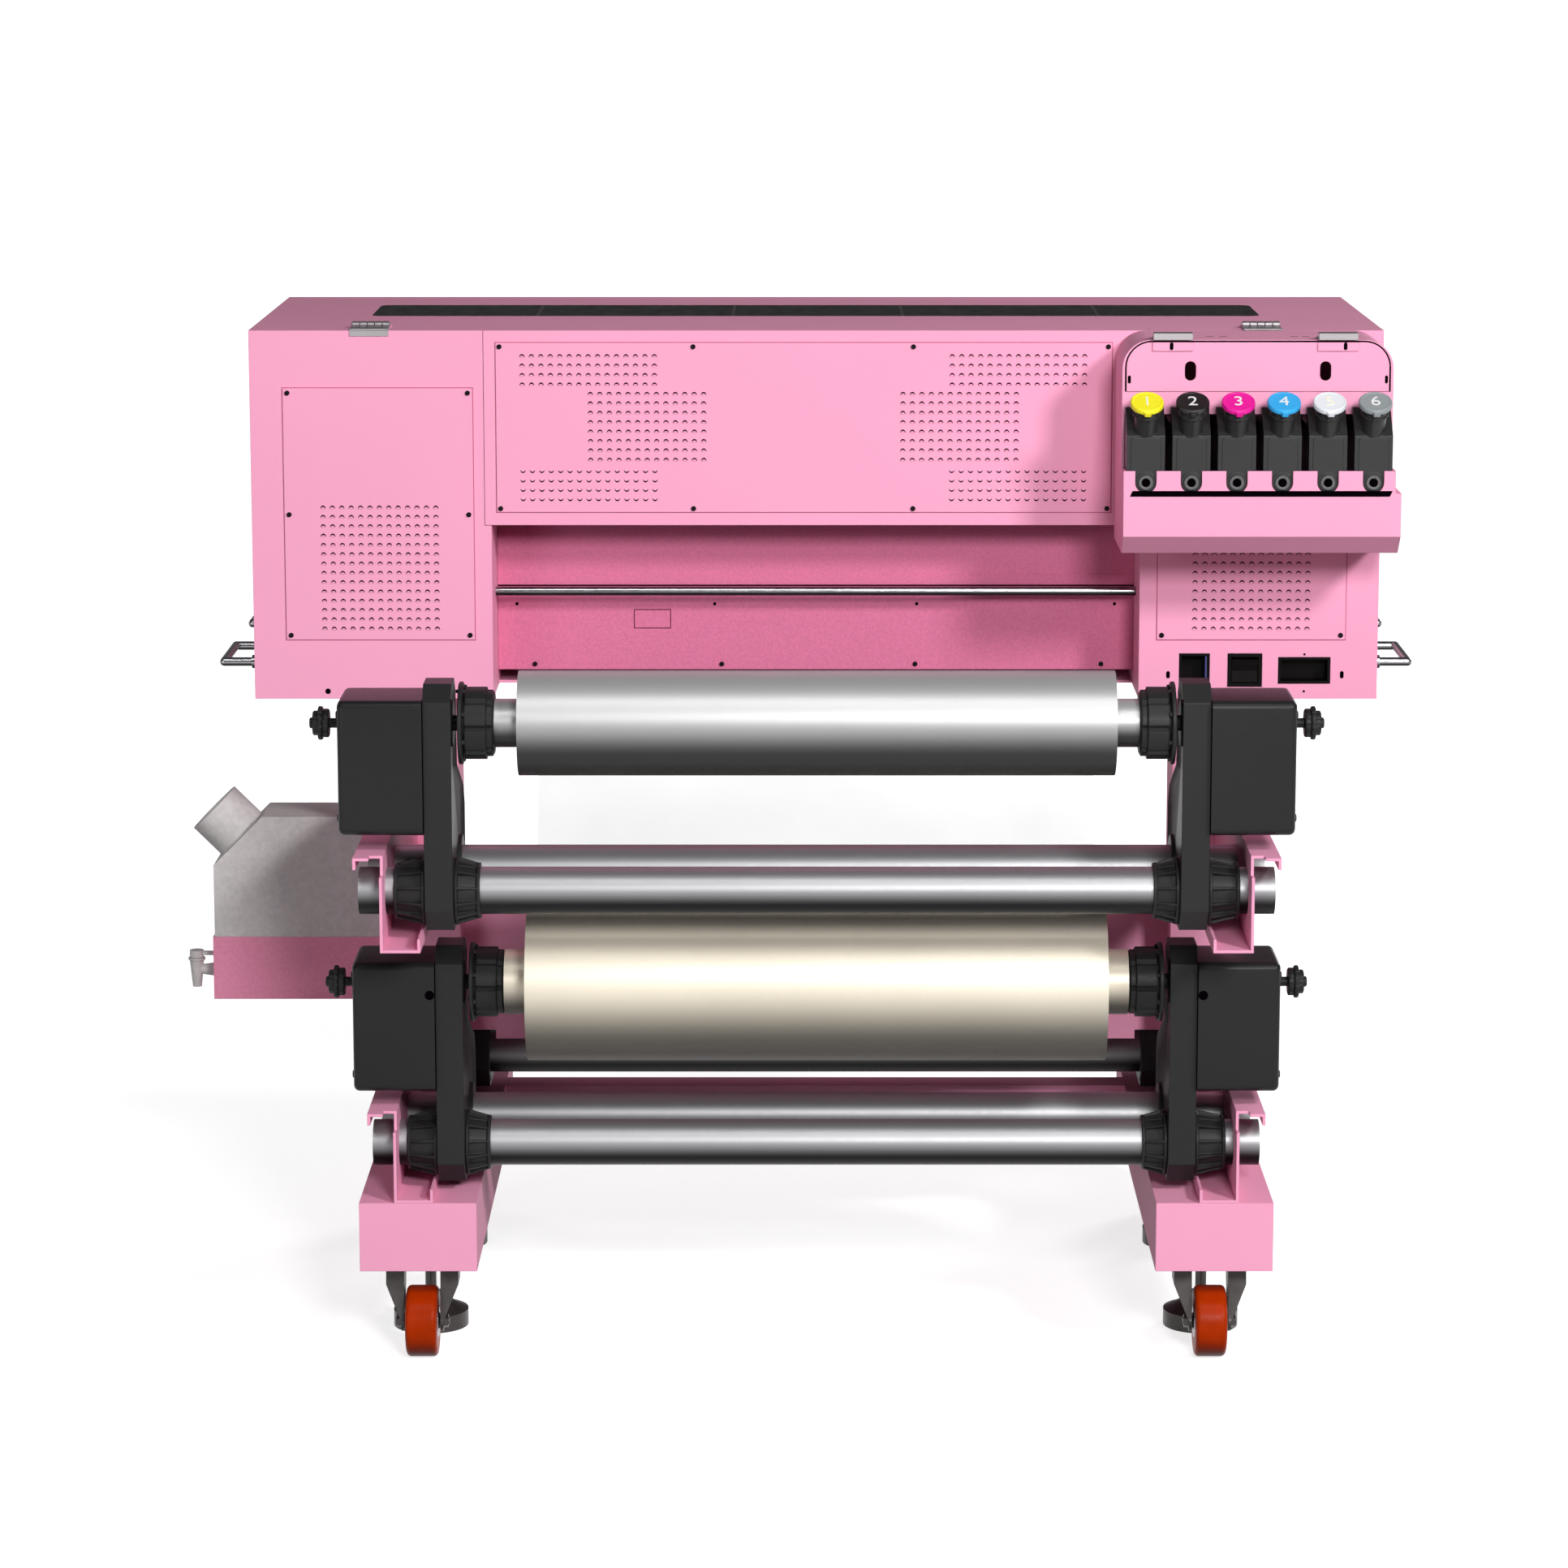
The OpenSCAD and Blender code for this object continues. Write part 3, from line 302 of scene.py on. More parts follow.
chrome = grained("polished_chrome", (0.78, 0.78, 0.8), 0.1, metal=1.0, tint=0.01, bump=0.03,
                 grain=200, edge=0.5, rough_spread=0.03)
# Painted shade: the forks and levelling feet are darkened on their lower side by under.
dark_steel = grained("dark_zinc_steel", (0.085, 0.078, 0.075), 0.36, metal=0.7, tint=0.15, patch=60,
                     bump=0.2, grain=500, edge=0.8, under=(0.25, -0.6, 0.5))
black_oxide = grained("black_oxide_screws", (0.005, 0.003, 0.004), 0.55, specular=0.08, tint=0.1,
                      bump=0.2, grain=500, edge=0.4)
zinc = grained("bright_zinc", (0.5, 0.5, 0.51), 0.3, metal=1.0, tint=0.05, bump=0.1, grain=400,
               edge=0.6)
# Painted shade: the silver film is darkened towards the bottom of the roll by under.
silver_film = grained("silver_film", (0.47, 0.47, 0.475), 0.42, metal=0.5, tint=0.02, bump=0.06,
                      grain=500, edge=0, rough_spread=0.03, under=(0.04, -0.5, 0.45))
# Painted shade: the cream film is darkened towards the bottom of the roll by under.
cream_film = grained("cream_film", (0.80, 0.73, 0.60), 0.45, metal=0.4, tint=0.03, bump=0.3,
                     grain=420, edge=0, under=(0.10, -0.65, 0.3))
card_core = grained("card_core", (0.55, 0.44, 0.31), 0.8, tint=0.08, bump=0.4, grain=260, edge=0.5)
# Painted shade: the tyres are darkened towards their bottom by under.
orange_tyre = grained("orange_polyurethane", (0.40, 0.028, 0.0005), 0.34, specular=0.06, tint=0.12,
                      patch=40, bump=0.2, grain=300, edge=2.0, under=(0.3, -0.95, -0.2))
hinge_steel = grained("brushed_hinge_steel", (0.27, 0.25, 0.26), 0.42, metal=0.85, tint=0.05,
                      bump=0.05, grain=400, edge=0.4)
smoked = grained("smoked_acrylic", (0.005, 0.003, 0.0035), 0.2, specular=0.012, tint=0.1,
                 bump=0.02, grain=60, edge=0.6)
aluminium = grained("machined_aluminium", (0.6, 0.6, 0.61), 0.35, metal=1.0, tint=0.03, bump=0.2,
                    grain=300, stretch=(0.03, 1, 1))
rubber = grained("black_rubber", (0.02, 0.02, 0.02), 0.7, tint=0.1, bump=0.4, grain=500)
# Painted shadow: dark purple that stands for the shade in louvre mouths, pressed borders and the lap line.
painted_groove_shadow = grained("vent_shadow", (0.035, 0.003, 0.012), 0.8, specular=0.05, tint=0.1, bump=0.1,
                    grain=300, edge=0)
# Painted shadow: near black that stands for the shade inside holes, slots, gaps and bores.
painted_hole_shadow = grained("hole_shadow", (0.002, 0.001, 0.002), 0.9, specular=0.0, tint=0.1, bump=0.1,
                    grain=300, edge=0)
blue_port = grained("blue_port", (0.10, 0.10, 0.34), 0.4, tint=0.05, bump=0.1, grain=300)
socket_black = grained("socket_black", (0.004, 0.003, 0.003), 0.5, specular=0.06, tint=0.1,
                       bump=0.1, grain=400)
# Painted shade: the handles and the idler rod are darkened on their lower side by under.
handle_chrome = grained("handle_chrome", (0.44, 0.43, 0.45), 0.2, metal=1.0, tint=0.01, bump=0.006,
                        grain=200, edge=0.5, rough_spread=0.03, under=(0.04, -0.6, 0.5))

CAP_COLORS = {
    "yellow": (0.94, 0.86, 0.015),
    "black": (0.006, 0.006, 0.006),
    "magenta": (0.86, 0.005, 0.34),
    "cyan": (0.03, 0.42, 0.86),
    "white": (0.80, 0.84, 0.88),
    "grey": (0.29, 0.32, 0.33),
}
cap_paints = {
    name: grained("cap_" + name, color, 0.4, tint=0.02, bump=0.08, grain=500, edge=0.8)
    for name, color in CAP_COLORS.items()
}
# Painted highlight: the lighter grey of the spout's lip stands for a bright ring of reflected light.
spout_painted_highlight = grained("spout_rim_painted_highlight", (0.09, 0.09, 0.092), 0.3, tint=0.05, bump=0.05, grain=300, edge=0)
seam_grey = grained("window_seam", (0.035, 0.024, 0.028), 0.4, tint=0.05, bump=0.1, grain=300, edge=0)
joint_pink = grained("joint_shadow", (0.50, 0.10, 0.20), 0.7, tint=0.05, bump=0.1, grain=300, edge=0)
mark_white = grained("cap_mark_white", (0.85, 0.85, 0.85), 0.5, tint=0.02, bump=0.05, grain=400, edge=0)
mark_pale = grained("cap_mark_pale", (0.92, 0.91, 0.72), 0.5, tint=0.02, bump=0.05, grain=400, edge=0)


def film_material():
    """Milky film that lets most light through."""
    mat, tree, shader = new_material("clear_film", (0.60, 0.60, 0.605), 0.35)
    clear = tree.nodes.new("ShaderNodeBsdfTransparent")
    socket(clear, "Color", (0.94, 0.94, 0.942, 1))
    mix = tree.nodes.new("ShaderNodeMixShader")
    haze = spread(tree, noise(tree, 8.0), 0.12, 0.16)
    bumpy(tree, shader, noise(tree, 30.0), 0.1, 0.3)
    out = tree.nodes["Material Output"]
    tree.links.new(haze, mix.inputs["Fac"])
    tree.links.new(clear.outputs[0], mix.inputs[1])
    tree.links.new(shader.outputs[0], mix.inputs[2])
    tree.links.new(mix.outputs[0], out.inputs["Surface"])
    return mat


clear_film = film_material()


def dress(mat, *names):
    """Gives CAD nodes a material in every slot."""
    for name in names:
        mesh = NODES[name].data
        mesh.materials.clear()
        mesh.materials.append(mat)
        for face in mesh.polygons:
            face.material_index = 0


dress(pink_paint, "foot_left", "foot_right", "columns", "cross_beam", "control_cabinet", "tube_brackets",
      "cabinet_left", "cabinet_right", "base_pan", "rear_cover", "access_panels", "front_cover", "top_lid",
      "ink_station", "ink_flap")
dress(pink_recess_painted_shade, "recess_panels")
dress(pink_tank, "waste_tank")
dress(black_plastic, "upper_arms", "lower_arms", "front_arms", "tube_clamps", "drive_boxes", "upper_chucks",
      "lower_chucks", "takeup_chucks", "carriage_drive")
dress(socket_black, "power_inlet", "power_switch")
dress(black_gloss, "ink_tanks", "ink_caps")
dress(tube_steel, "roll_tubes", "feed_roller")
dress(chrome, "hinges")
dress(handle_chrome, "side_handles", "idler_rod")
dress(black_oxide, "fasteners")
dress(dark_steel, *[n for n in NODES if n.startswith("caster_fork")])
dress(dark_steel, *[n for n in NODES if n.startswith("levelling_foot")])
dress(orange_tyre, *[n for n in NODES if n.startswith("caster_wheel")])
dress(silver_film, "upper_film_roll")
dress(cream_film, "lower_film_roll")
dress(clear_film, "film_web")
dress(card_core, "takeup_core")
dress(smoked, "lid_window")
dress(aluminium, "platen", "gantry_beam", "print_carriage")
dress(grey_shell, "exhaust_hood", "drain_tap", "tap_lever")
dress(rubber, "pinch_rollers")


# ---- Mesh helpers: sizes in millimetres, in the row frame ----

X_AXIS, Y_AXIS, Z_AXIS = Vector((1, 0, 0)), Vector((0, 1, 0)), Vector((0, 0, 1))
SIDES = (-1, 1)
SOFT_EDGE_ANGLE, SOFT_EDGE_STEPS = 40, 3
# Faces of a six-sided body whose points run low to high in its first, then second, then third way.
SIX_SIDES = [(0, 1, 3, 2), (4, 6, 7, 5), (0, 4, 5, 1), (2, 3, 7, 6), (0, 2, 6, 4), (1, 5, 7, 3)]


def corners(node):
    """Lowest and highest corner of a CAD node, in millimetres."""
    low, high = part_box(node)
    return low / MM, high / MM


# Faces that look to the rear, where the camera stands, and the top of the casing.
REAR_Y = corners("cabinet_left")[0].y
COVER_Y = corners("access_panels")[0].y
RECESS_Y = corners("recess_panels")[0].y
FLAP_SET_BACK = 40
FLAP_Y = corners("ink_station")[0].y + FLAP_SET_BACK
TOP_Z = corners("rear_cover")[1].z


def piece(name, mesh_data, mats, body, replaces=(), bevel=0.0, smooth=35):
    """Makes a bmesh into a piece on a body, with edges rounded by bevel and smooth up to an angle."""
    bmesh.ops.recalc_face_normals(mesh_data, faces=mesh_data.faces)
    mesh = bpy.data.meshes.new(name)
    mesh_data.to_mesh(mesh)
    mesh_data.free()
    for mat in mats:
        mesh.materials.append(mat)
    mesh.shade_smooth()
    mesh.set_sharp_from_angle(angle=math.radians(smooth))
    obj = bpy.data.objects.new(name, mesh)
    bpy.context.scene.collection.objects.link(obj)
    if bevel:
        soft = obj.modifiers.new("soft_edges", "BEVEL")
        soft.width = bevel * MM
        soft.segments = SOFT_EDGE_STEPS
        soft.limit_method = "ANGLE"
        soft.angle_limit = math.radians(SOFT_EDGE_ANGLE)
        soft.harden_normals = True
    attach(obj, body)
    if replaces:
        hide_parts(*replaces)


def add(bm, points, faces, mat=0):
    verts = [bm.verts.new(Vector(p) * MM) for p in points]
    for face in faces:
        bm.faces.new([verts[i] for i in face]).material_index = mat


def prism(bm, outline, axis, start, end, mat=0):
    """Outline in the two axes after `axis`, in x, y, z order without it, run from start to end."""
    def place(t, u, v):
        return {"x": (t, u, v), "y": (u, t, v), "z": (u, v, t)}[axis]
    n = len(outline)
    points = [place(t, *p) for t in (start, end) for p in outline]
    sides = [(i, (i + 1) % n, n + (i + 1) % n, n + i) for i in range(n)]
    add(bm, points, sides + [tuple(range(n)), tuple(range(n, 2 * n))], mat)


def block(bm, low, high, mat=0):
    outline = [(low[1], low[2]), (high[1], low[2]), (high[1], high[2]), (low[1], high[2])]
    prism(bm, outline, "x", low[0], high[0], mat)


def lathe(bm, origin, axis, profile, steps=48, mat=0, notches=None):
    """Turns (distance along axis, radius) pairs about axis. notches is (every, depth, least radius)."""
    axis = Vector(axis).normalized()
    side = axis.cross(Z_AXIS if abs(axis.z) < 0.9 else X_AXIS).normalized()
    up = axis.cross(side)
    rings = []
    for along, radius in profile:
        centre = Vector(origin) + axis * along
        if radius == 0:
            rings.append([bm.verts.new(centre * MM)])
            continue
        ring = []
        for i in range(steps):
            r = radius
            if notches and i % notches[0] == 0 and radius >= notches[2]:
                r -= notches[1]
            a = 2 * math.pi * i / steps
            ring.append(bm.verts.new((centre + side * (r * math.cos(a)) + up * (r * math.sin(a))) * MM))
        rings.append(ring)
    for near, far in zip(rings, rings[1:]):
        for i in range(steps):
            j = (i + 1) % steps
            face = [near[i % len(near)], near[j % len(near)], far[j % len(far)], far[i % len(far)]]
            face = [v for k, v in enumerate(face) if v not in face[:k]]
            bm.faces.new(face).material_index = mat


def rounded(width, height, r, steps=6):
    """Rounded rectangle about the middle."""
    points = []
    for k, (sx, sy) in enumerate([(1, 1), (-1, 1), (-1, -1), (1, -1)]):
        for i in range(steps + 1):
            a = math.pi / 2 * (k + i / steps)
            points.append((sx * (width / 2 - r) + r * math.cos(a), sy * (height / 2 - r) + r * math.sin(a)))
    return points


def moved(outline, dx, dy):
    return [(x + dx, y + dy) for x, y in outline]


# ---- Louvres and openings of the casing ----

LOUVRE_PITCH = 10
MOUTH_HALF, MOUTH_RISE = 2.9, 3.3
RIM_HALF, RIM_RISE = 2.3, 1.6
FOOT_DROP, LIP_PROUD = 1.0, 0.5
ARC_STEPS = 6
LIP_ROWS = (0, 0.5, 0.85, 1)
# How far a sheet of painted shadow stands off the face that carries it, so that it shows.
SHOW = 0.15


def louvre(bm, x, z, way):
    """Scoop pressed out of a cover: an arched mouth drawn as a flat sheet in painted shadow over a domed
    lip, turned over where way is -1.
    """
    n = ARC_STEPS
    arcs = [math.pi * i / n for i in range(n + 1)]
    crown = [(x - math.cos(a) * MOUTH_HALF, z + way * math.sin(a) * MOUTH_RISE) for a in arcs]
    rim = [(x - math.cos(a) * RIM_HALF, z + way * math.sin(a) * RIM_RISE) for a in arcs]
    foot = [(x - math.cos(a) * MOUTH_HALF, z - way * math.sin(a) * FOOT_DROP) for a in arcs]
    mouth = [(u, COVER_Y - 0.1, w) for u, w in crown + rim]
    add(bm, mouth, [(i, i + 1, n + 2 + i, n + 1 + i) for i in range(n)], 1)
    lip = []
    for t in LIP_ROWS:
        proud = LIP_PROUD * math.sqrt(1 - t * t)
        lip += [(a[0] + (b[0] - a[0]) * t, COVER_Y - 0.05 - proud, a[1] + (b[1] - a[1]) * t)
                for a, b in zip(rim, foot)]
    add(bm, lip, [(k * (n + 1) + i, k * (n + 1) + i + 1, (k + 1) * (n + 1) + i + 1, (k + 1) * (n + 1) + i)
                  for k in range(len(LIP_ROWS) - 1) for i in range(n)])


def louvre_field(name, fields):
    """Fields are (first x, first z, columns, rows, way)."""
    bm = bmesh.new()
    for x0, z0, columns, rows, way in fields:
        for column in range(columns):
            for row in range(rows):
                louvre(bm, x0 + column * LOUVRE_PITCH, z0 + row * LOUVRE_PITCH, way)
    piece(name, bm, [pink_paint, painted_groove_shadow], "frame", smooth=60)


louvre_field("louvres_left", [(-524, 743, 13, 14, 1)])
louvre_field("louvres_right", [(404, 743, 13, 14, 1)])
louvre_field("louvres_centre", [
    (-311, 1004, 15, 4, 1), (144, 1004, 15, 4, 1),
    (-239, 924, 13, 8, 1), (92, 924, 13, 8, 1),
    (-311, 884, 15, 4, -1), (144, 884, 15, 4, -1),
])


def flat_holes(name, body, holes):
    """Openings on faces that look to the rear, drawn as flat sheets in painted shadow, as (x, z, width,
    height, y).
    """
    bm = bmesh.new()
    for x, z, width, height, y in holes:
        outline = moved(rounded(width, height, min(width, height) / 2 - 0.01), x, z)
        prism(bm, outline, "y", y - SHOW, y)
    piece(name, bm, [painted_hole_shadow], body)


flat_holes("casing_holes", "frame", [
    (-522, 676, 5, 5, REAR_Y), (-384, 676, 4, 4, REAR_Y),
    (376.5, 694, 4, 8, REAR_Y), (562.3, 694, 4, 8, REAR_Y),
    (522, 716, 2.6, 2.6, REAR_Y), (522, 676, 2.6, 2.6, REAR_Y),
])
FLAP_LOW, FLAP_HIGH = corners("ink_flap")
FLAP_MID = (FLAP_LOW.x + FLAP_HIGH.x) / 2
FLAP_R, FLAP_ARC_STEPS = 26, 8
JOINT_INNER, JOINT_OUTER = 0.2, 1.8
LEAF_Y = FLAP_Y - 2
flat_holes("flap_slots", "flap", [
    (FLAP_MID + side * out, z, width, height, y)
    for out, z, width, height, y in ((90, 1055.6, 3.8, 8, LEAF_Y), (133.2, 1021, 3.2, 8.4, FLAP_Y))
    for side in SIDES
])


def station_slots():
    """Slot over the apron of the ink station, and slits on its top, drawn as flat sheets in painted shadow.
    """
    bm = bmesh.new()
    low, high = corners("ink_station")
    prism(bm, [(323.5, 903.6), (592, 903.6), (595, 909.6), (326.5, 909.6)], "y", low.y - SHOW, low.y)
    for x in (410, 424, 498, 510):
        block(bm, (x - 4.2, -157, high.z), (x + 4.2, -155, high.z + SHOW))
    piece("station_slots", bm, [painted_hole_shadow], "frame")


station_slots()


def flap_joint():
    """Shadow gap that runs up one side of the flap, over its round corners and down the other."""
    bm = bmesh.new()
    x0, x1 = FLAP_LOW.x, FLAP_HIGH.x
    z0, z1, r = FLAP_LOW.z, FLAP_HIGH.z, FLAP_R
    arcs = [math.pi / 2 * k / FLAP_ARC_STEPS for k in range(FLAP_ARC_STEPS + 1)]

    def edge(out):
        points = [(x0 - out, z0), (x0 - out, z1 - r)]
        points += [(x0 + r - (r + out) * math.cos(a), z1 - r + (r + out) * math.sin(a)) for a in arcs[1:]]
        points += [(x1 - r + (r + out) * math.sin(a), z1 - r + (r + out) * math.cos(a)) for a in arcs[:-1]]
        return points + [(x1 + out, z1 - r), (x1 + out, z0)]

    inner, outer = edge(JOINT_INNER), edge(JOINT_OUTER)
    n = len(inner)
    points = [(u, FLAP_Y - SHOW, w) for u, w in inner + outer]
    add(bm, points, [(i, i + 1, n + i + 1, n + i) for i in range(n - 1)])
    piece("flap_joint", bm, [painted_hole_shadow], "frame")


flap_joint()


def blank_plate():
    """Unmarked plate on the recess panel, in the recess's painted shade, with a pressed border drawn as
    lines of painted shadow.
    """
    bm = bmesh.new()
    x0, x1, z0, z1, border = -197, -157, 731, 752, 0.8
    block(bm, (x0, RECESS_Y - 0.35, z0), (x1, RECESS_Y, z1))
    for low, high in [((x0, z0), (x1, z0 + border)), ((x0, z1 - border), (x1, z1)),
                      ((x0, z0), (x0 + border, z1)), ((x1 - border, z0), (x1, z1))]:
        block(bm, (low[0], RECESS_Y - 0.5, low[1]), (high[0], RECESS_Y - 0.3, high[1]), 1)
    piece("blank_plate", bm, [pink_recess_painted_shade, painted_groove_shadow], "frame")


blank_plate()


def window_seams():
    """Thin joints between the panes of the lid's window."""
    bm = bmesh.new()
    low, high = corners("lid_window")
    for x in (-304, -90.4, 94.9, 308.6):
        block(bm, (x - 1.8, low.y + 10, high.z), (x + 1.8, high.y - 10, high.z + 0.2))
    piece("window_seams", bm, [seam_grey], "lid")


window_seams()


def recess_lap():
    """Lap of the curved guide over the lower panel, in the recess's painted shade, with a painted shadow
    line just above the idler rod.
    """
    bm = bmesh.new()
    low, high = corners("recess_panels")
    rod_low, rod_high = corners("idler_rod")
    rod_z = (rod_low.z + rod_high.z) / 2
    block(bm, (low.x, RECESS_Y - 0.8, rod_z + 3), (high.x, RECESS_Y, rod_z + 14.5))
    block(bm, (low.x, RECESS_Y - 0.3, rod_z + 1), (high.x, RECESS_Y, rod_z + 3), 1)
    piece("recess_lap", bm, [pink_recess_painted_shade, painted_groove_shadow], "frame", bevel=0.3)


recess_lap()
flat_holes("recess_screw_holes", "frame", [
    (x, 758, 3.6, 3.6, RECESS_Y - 0.2) for x in (-324, -109.5, 109.5, 324)
])


def port_edge():
    """Blue insert along one side of the data port's cut-out."""
    bm = bmesh.new()
    floor = corners("power_inlet")[0].z
    block(bm, (416.4, REAR_Y + 2, floor + 1), (420.4, REAR_Y + 20, floor + 38))
    piece("port_edge", bm, [blue_port], "frame", bevel=0.4)


port_edge()


def cover_joints():
    """Fine dark joint round each cover plate."""
    bm = bmesh.new()
    gap, y0, y1 = 0.9, REAR_Y - 0.25, REAR_Y
    top = corners("access_panels")[1].z
    for x0, x1, z0, z1 in [(364, 565, 732, 1001), (-565, -364, 732, 1001), (-339, 313, top - 180, top)]:
        block(bm, (x0 - gap, y0, z0 - gap), (x1 + gap, y1, z0))
        block(bm, (x0 - gap, y0, z1), (x1 + gap, y1, z1 + gap))
        block(bm, (x0 - gap, y0, z0), (x0, y1, z1))
        block(bm, (x1, y0, z0), (x1 + gap, y1, z1))
    piece("cover_joints", bm, [joint_pink], "frame")


cover_joints()


# ---- Ink tanks and caps ----

TANK_LOW, TANK_HIGH = corners("ink_tanks")
TANK_HALF, TANK_FRONT, TANK_TOP = 19.75, FLAP_Y - 35, TOP_Z - 69
SHOULDER, STEP = 27, 18
PANEL_W, PANEL_H, PANEL_R, PANEL_Z = 31, 52, 4, 938
CAP_LOW, CAP_HIGH = corners("ink_caps")
CAP_T = 6
LEAN = math.radians(30)
CAP_R = (CAP_HIGH.y - CAP_LOW.y - CAP_T * math.sin(LEAN)) / (2 * math.cos(LEAN))
CAP_PITCH = (CAP_HIGH.x - CAP_LOW.x - 2 * CAP_R) / 5
CAP_XS = [CAP_LOW.x + CAP_R + i * CAP_PITCH for i in range(6)]
NECK_WAY = Vector((0, -math.sin(LEAN), math.cos(LEAN)))
CAP_MIDDLE = (CAP_LOW + CAP_HIGH) / 2
SPOUT_Z = 918
DIGIT_SIZE, DIGIT_THICK = 22, 0.12


def on_neck(x, along):
    """Point on a neck's axis, measured from the middle of its cap."""
    return Vector((x, CAP_MIDDLE.y, CAP_MIDDLE.z)) + NECK_WAY * along


def ink_tank(bm, x):
    """Tank with a bevelled shoulder, a pressed front, a collared neck and an outlet ring, whose lip is a
    lighter grey as a painted highlight and whose bore is in painted shadow.
    """
    floor, front, top, back = TANK_LOW.z, TANK_FRONT, TANK_TOP, TANK_HIGH.y
    outline = [(front, floor), (front, top - SHOULDER), (front + SHOULDER, top), (FLAP_Y - 3, top),
               (FLAP_Y - 3, top - STEP), (back, top - STEP), (back, floor)]
    prism(bm, outline, "x", x - TANK_HALF, x + TANK_HALF)
    prism(bm, moved(rounded(PANEL_W, PANEL_H, PANEL_R), x, PANEL_Z), "y", front - 0.8, front)
    neck = [(-36, 12.5), (-13, 12.5), (-13, 14.5), (-11, 14.5), (-11, 13), (-3.2, 13), (-3.2, 15),
            (-2.6, 15), (-2.6, 0)]
    lathe(bm, on_neck(x, 0), NECK_WAY, neck, notches=(4, 0.8, 14))
    ring = [(0, 10.5), (1.5, 10.5), (1.5, 7.6), (4.4, 7.6)]
    mouth = [(4.4, 7.6), (5, 7.2), (5, 5.0), (4.4, 4.4)]
    bore = [(4.4, 4.4), (3, 4.4), (3, 0)]
    for mat, profile in enumerate((ring, mouth, bore)):
        lathe(bm, (x, front, SPOUT_Z), -Y_AXIS, profile, 32, mat)


def ink_tanks():
    bm = bmesh.new()
    for x in CAP_XS:
        ink_tank(bm, x)
    mats = [black_gloss, spout_painted_highlight, painted_hole_shadow]
    piece("ink_tank_bodies", bm, mats, "frame", ["ink_tanks"], bevel=1.3)


def ink_cap(x, color, number):
    """Screw cap with a grip edge, a raised rim, a small tab and its number."""
    bm = bmesh.new()
    r, h = CAP_R, CAP_T / 2
    profile = [(-h, 0), (-h, r - 1), (-h + 0.8, r - 0.2), (h - 1.2, r - 0.2), (h - 0.4, r - 0.8),
               (h, r - 1.6), (h, r - 2.6), (h - 0.5, r - 3.2), (h - 0.5, 0)]
    lathe(bm, on_neck(x, 0), NECK_WAY, profile, 96, notches=(2, 0.35, r - 0.3))
    down = Vector((0, -math.cos(LEAN), -math.sin(LEAN)))
    across = X_AXIS * 4.2
    tab = [on_neck(x, t) + down * d + across * w * k
           for t in (-h, h - 2) for d, k in ((r - 1, 1.0), (r + 2.4, 0.7)) for w in SIDES]
    add(bm, tab, SIX_SIDES)
    piece("ink_cap_" + color, bm, [cap_paints[color]], "frame", ["ink_caps"])
    digit_name = "ink_cap_number_" + str(number)
    digit = bpy.data.curves.new(digit_name, "FONT")
    digit.body = str(number)
    digit.size = DIGIT_SIZE * MM
    digit.extrude = DIGIT_THICK * MM
    digit.align_x = "CENTER"
    digit.align_y = "CENTER"
    digit.materials.append(mark_pale if color in ("yellow", "white") else mark_white)
    mark = bpy.data.objects.new(digit_name, digit)
    mark.location = on_neck(x, h - 0.35) * MM
    mark.rotation_euler.x = LEAN
    bpy.context.scene.collection.objects.link(mark)
    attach(mark, "frame")


ink_tanks()
for number, color in enumerate(CAP_COLORS):
    ink_cap(CAP_XS[number], color, number + 1)


# ---- Roll holders: chucks, clamps, arms and drive boxes ----

ARM_IN, ARM_OUT = 366, corners("lower_arms")[1].x
CHUCK_IN, CHUCK_OUT = 324, 360
PITCH = 119
TUBE_R = 24
UPPER_TUBE, LOWER_TUBE, FRONT_TUBE = (-399, 522.5), (-274, 228.5), (264, 228.5)
UPPER_AXIS, LOWER_AXIS, FRONT_AXIS = (-399, 694.5), (-274, 400.5), (264, 383.5)
BOLTS, BOLT_CIRCLE_R = 8, 37
RIBS = 12
WEB_RIM, WEB_SUNK = 7, 4
TUBE_RING_R, SPINDLE_RING_R = 35, 24
BOX_DEPTH, BOX_HEIGHT, BOX_R = 95, 137, 6
BOX_BACK, BOX_DROP, BOX_SCREW_IN = 0.47, 108, 16
REAR_BOX_W, FRONT_BOX_W = 85, 73


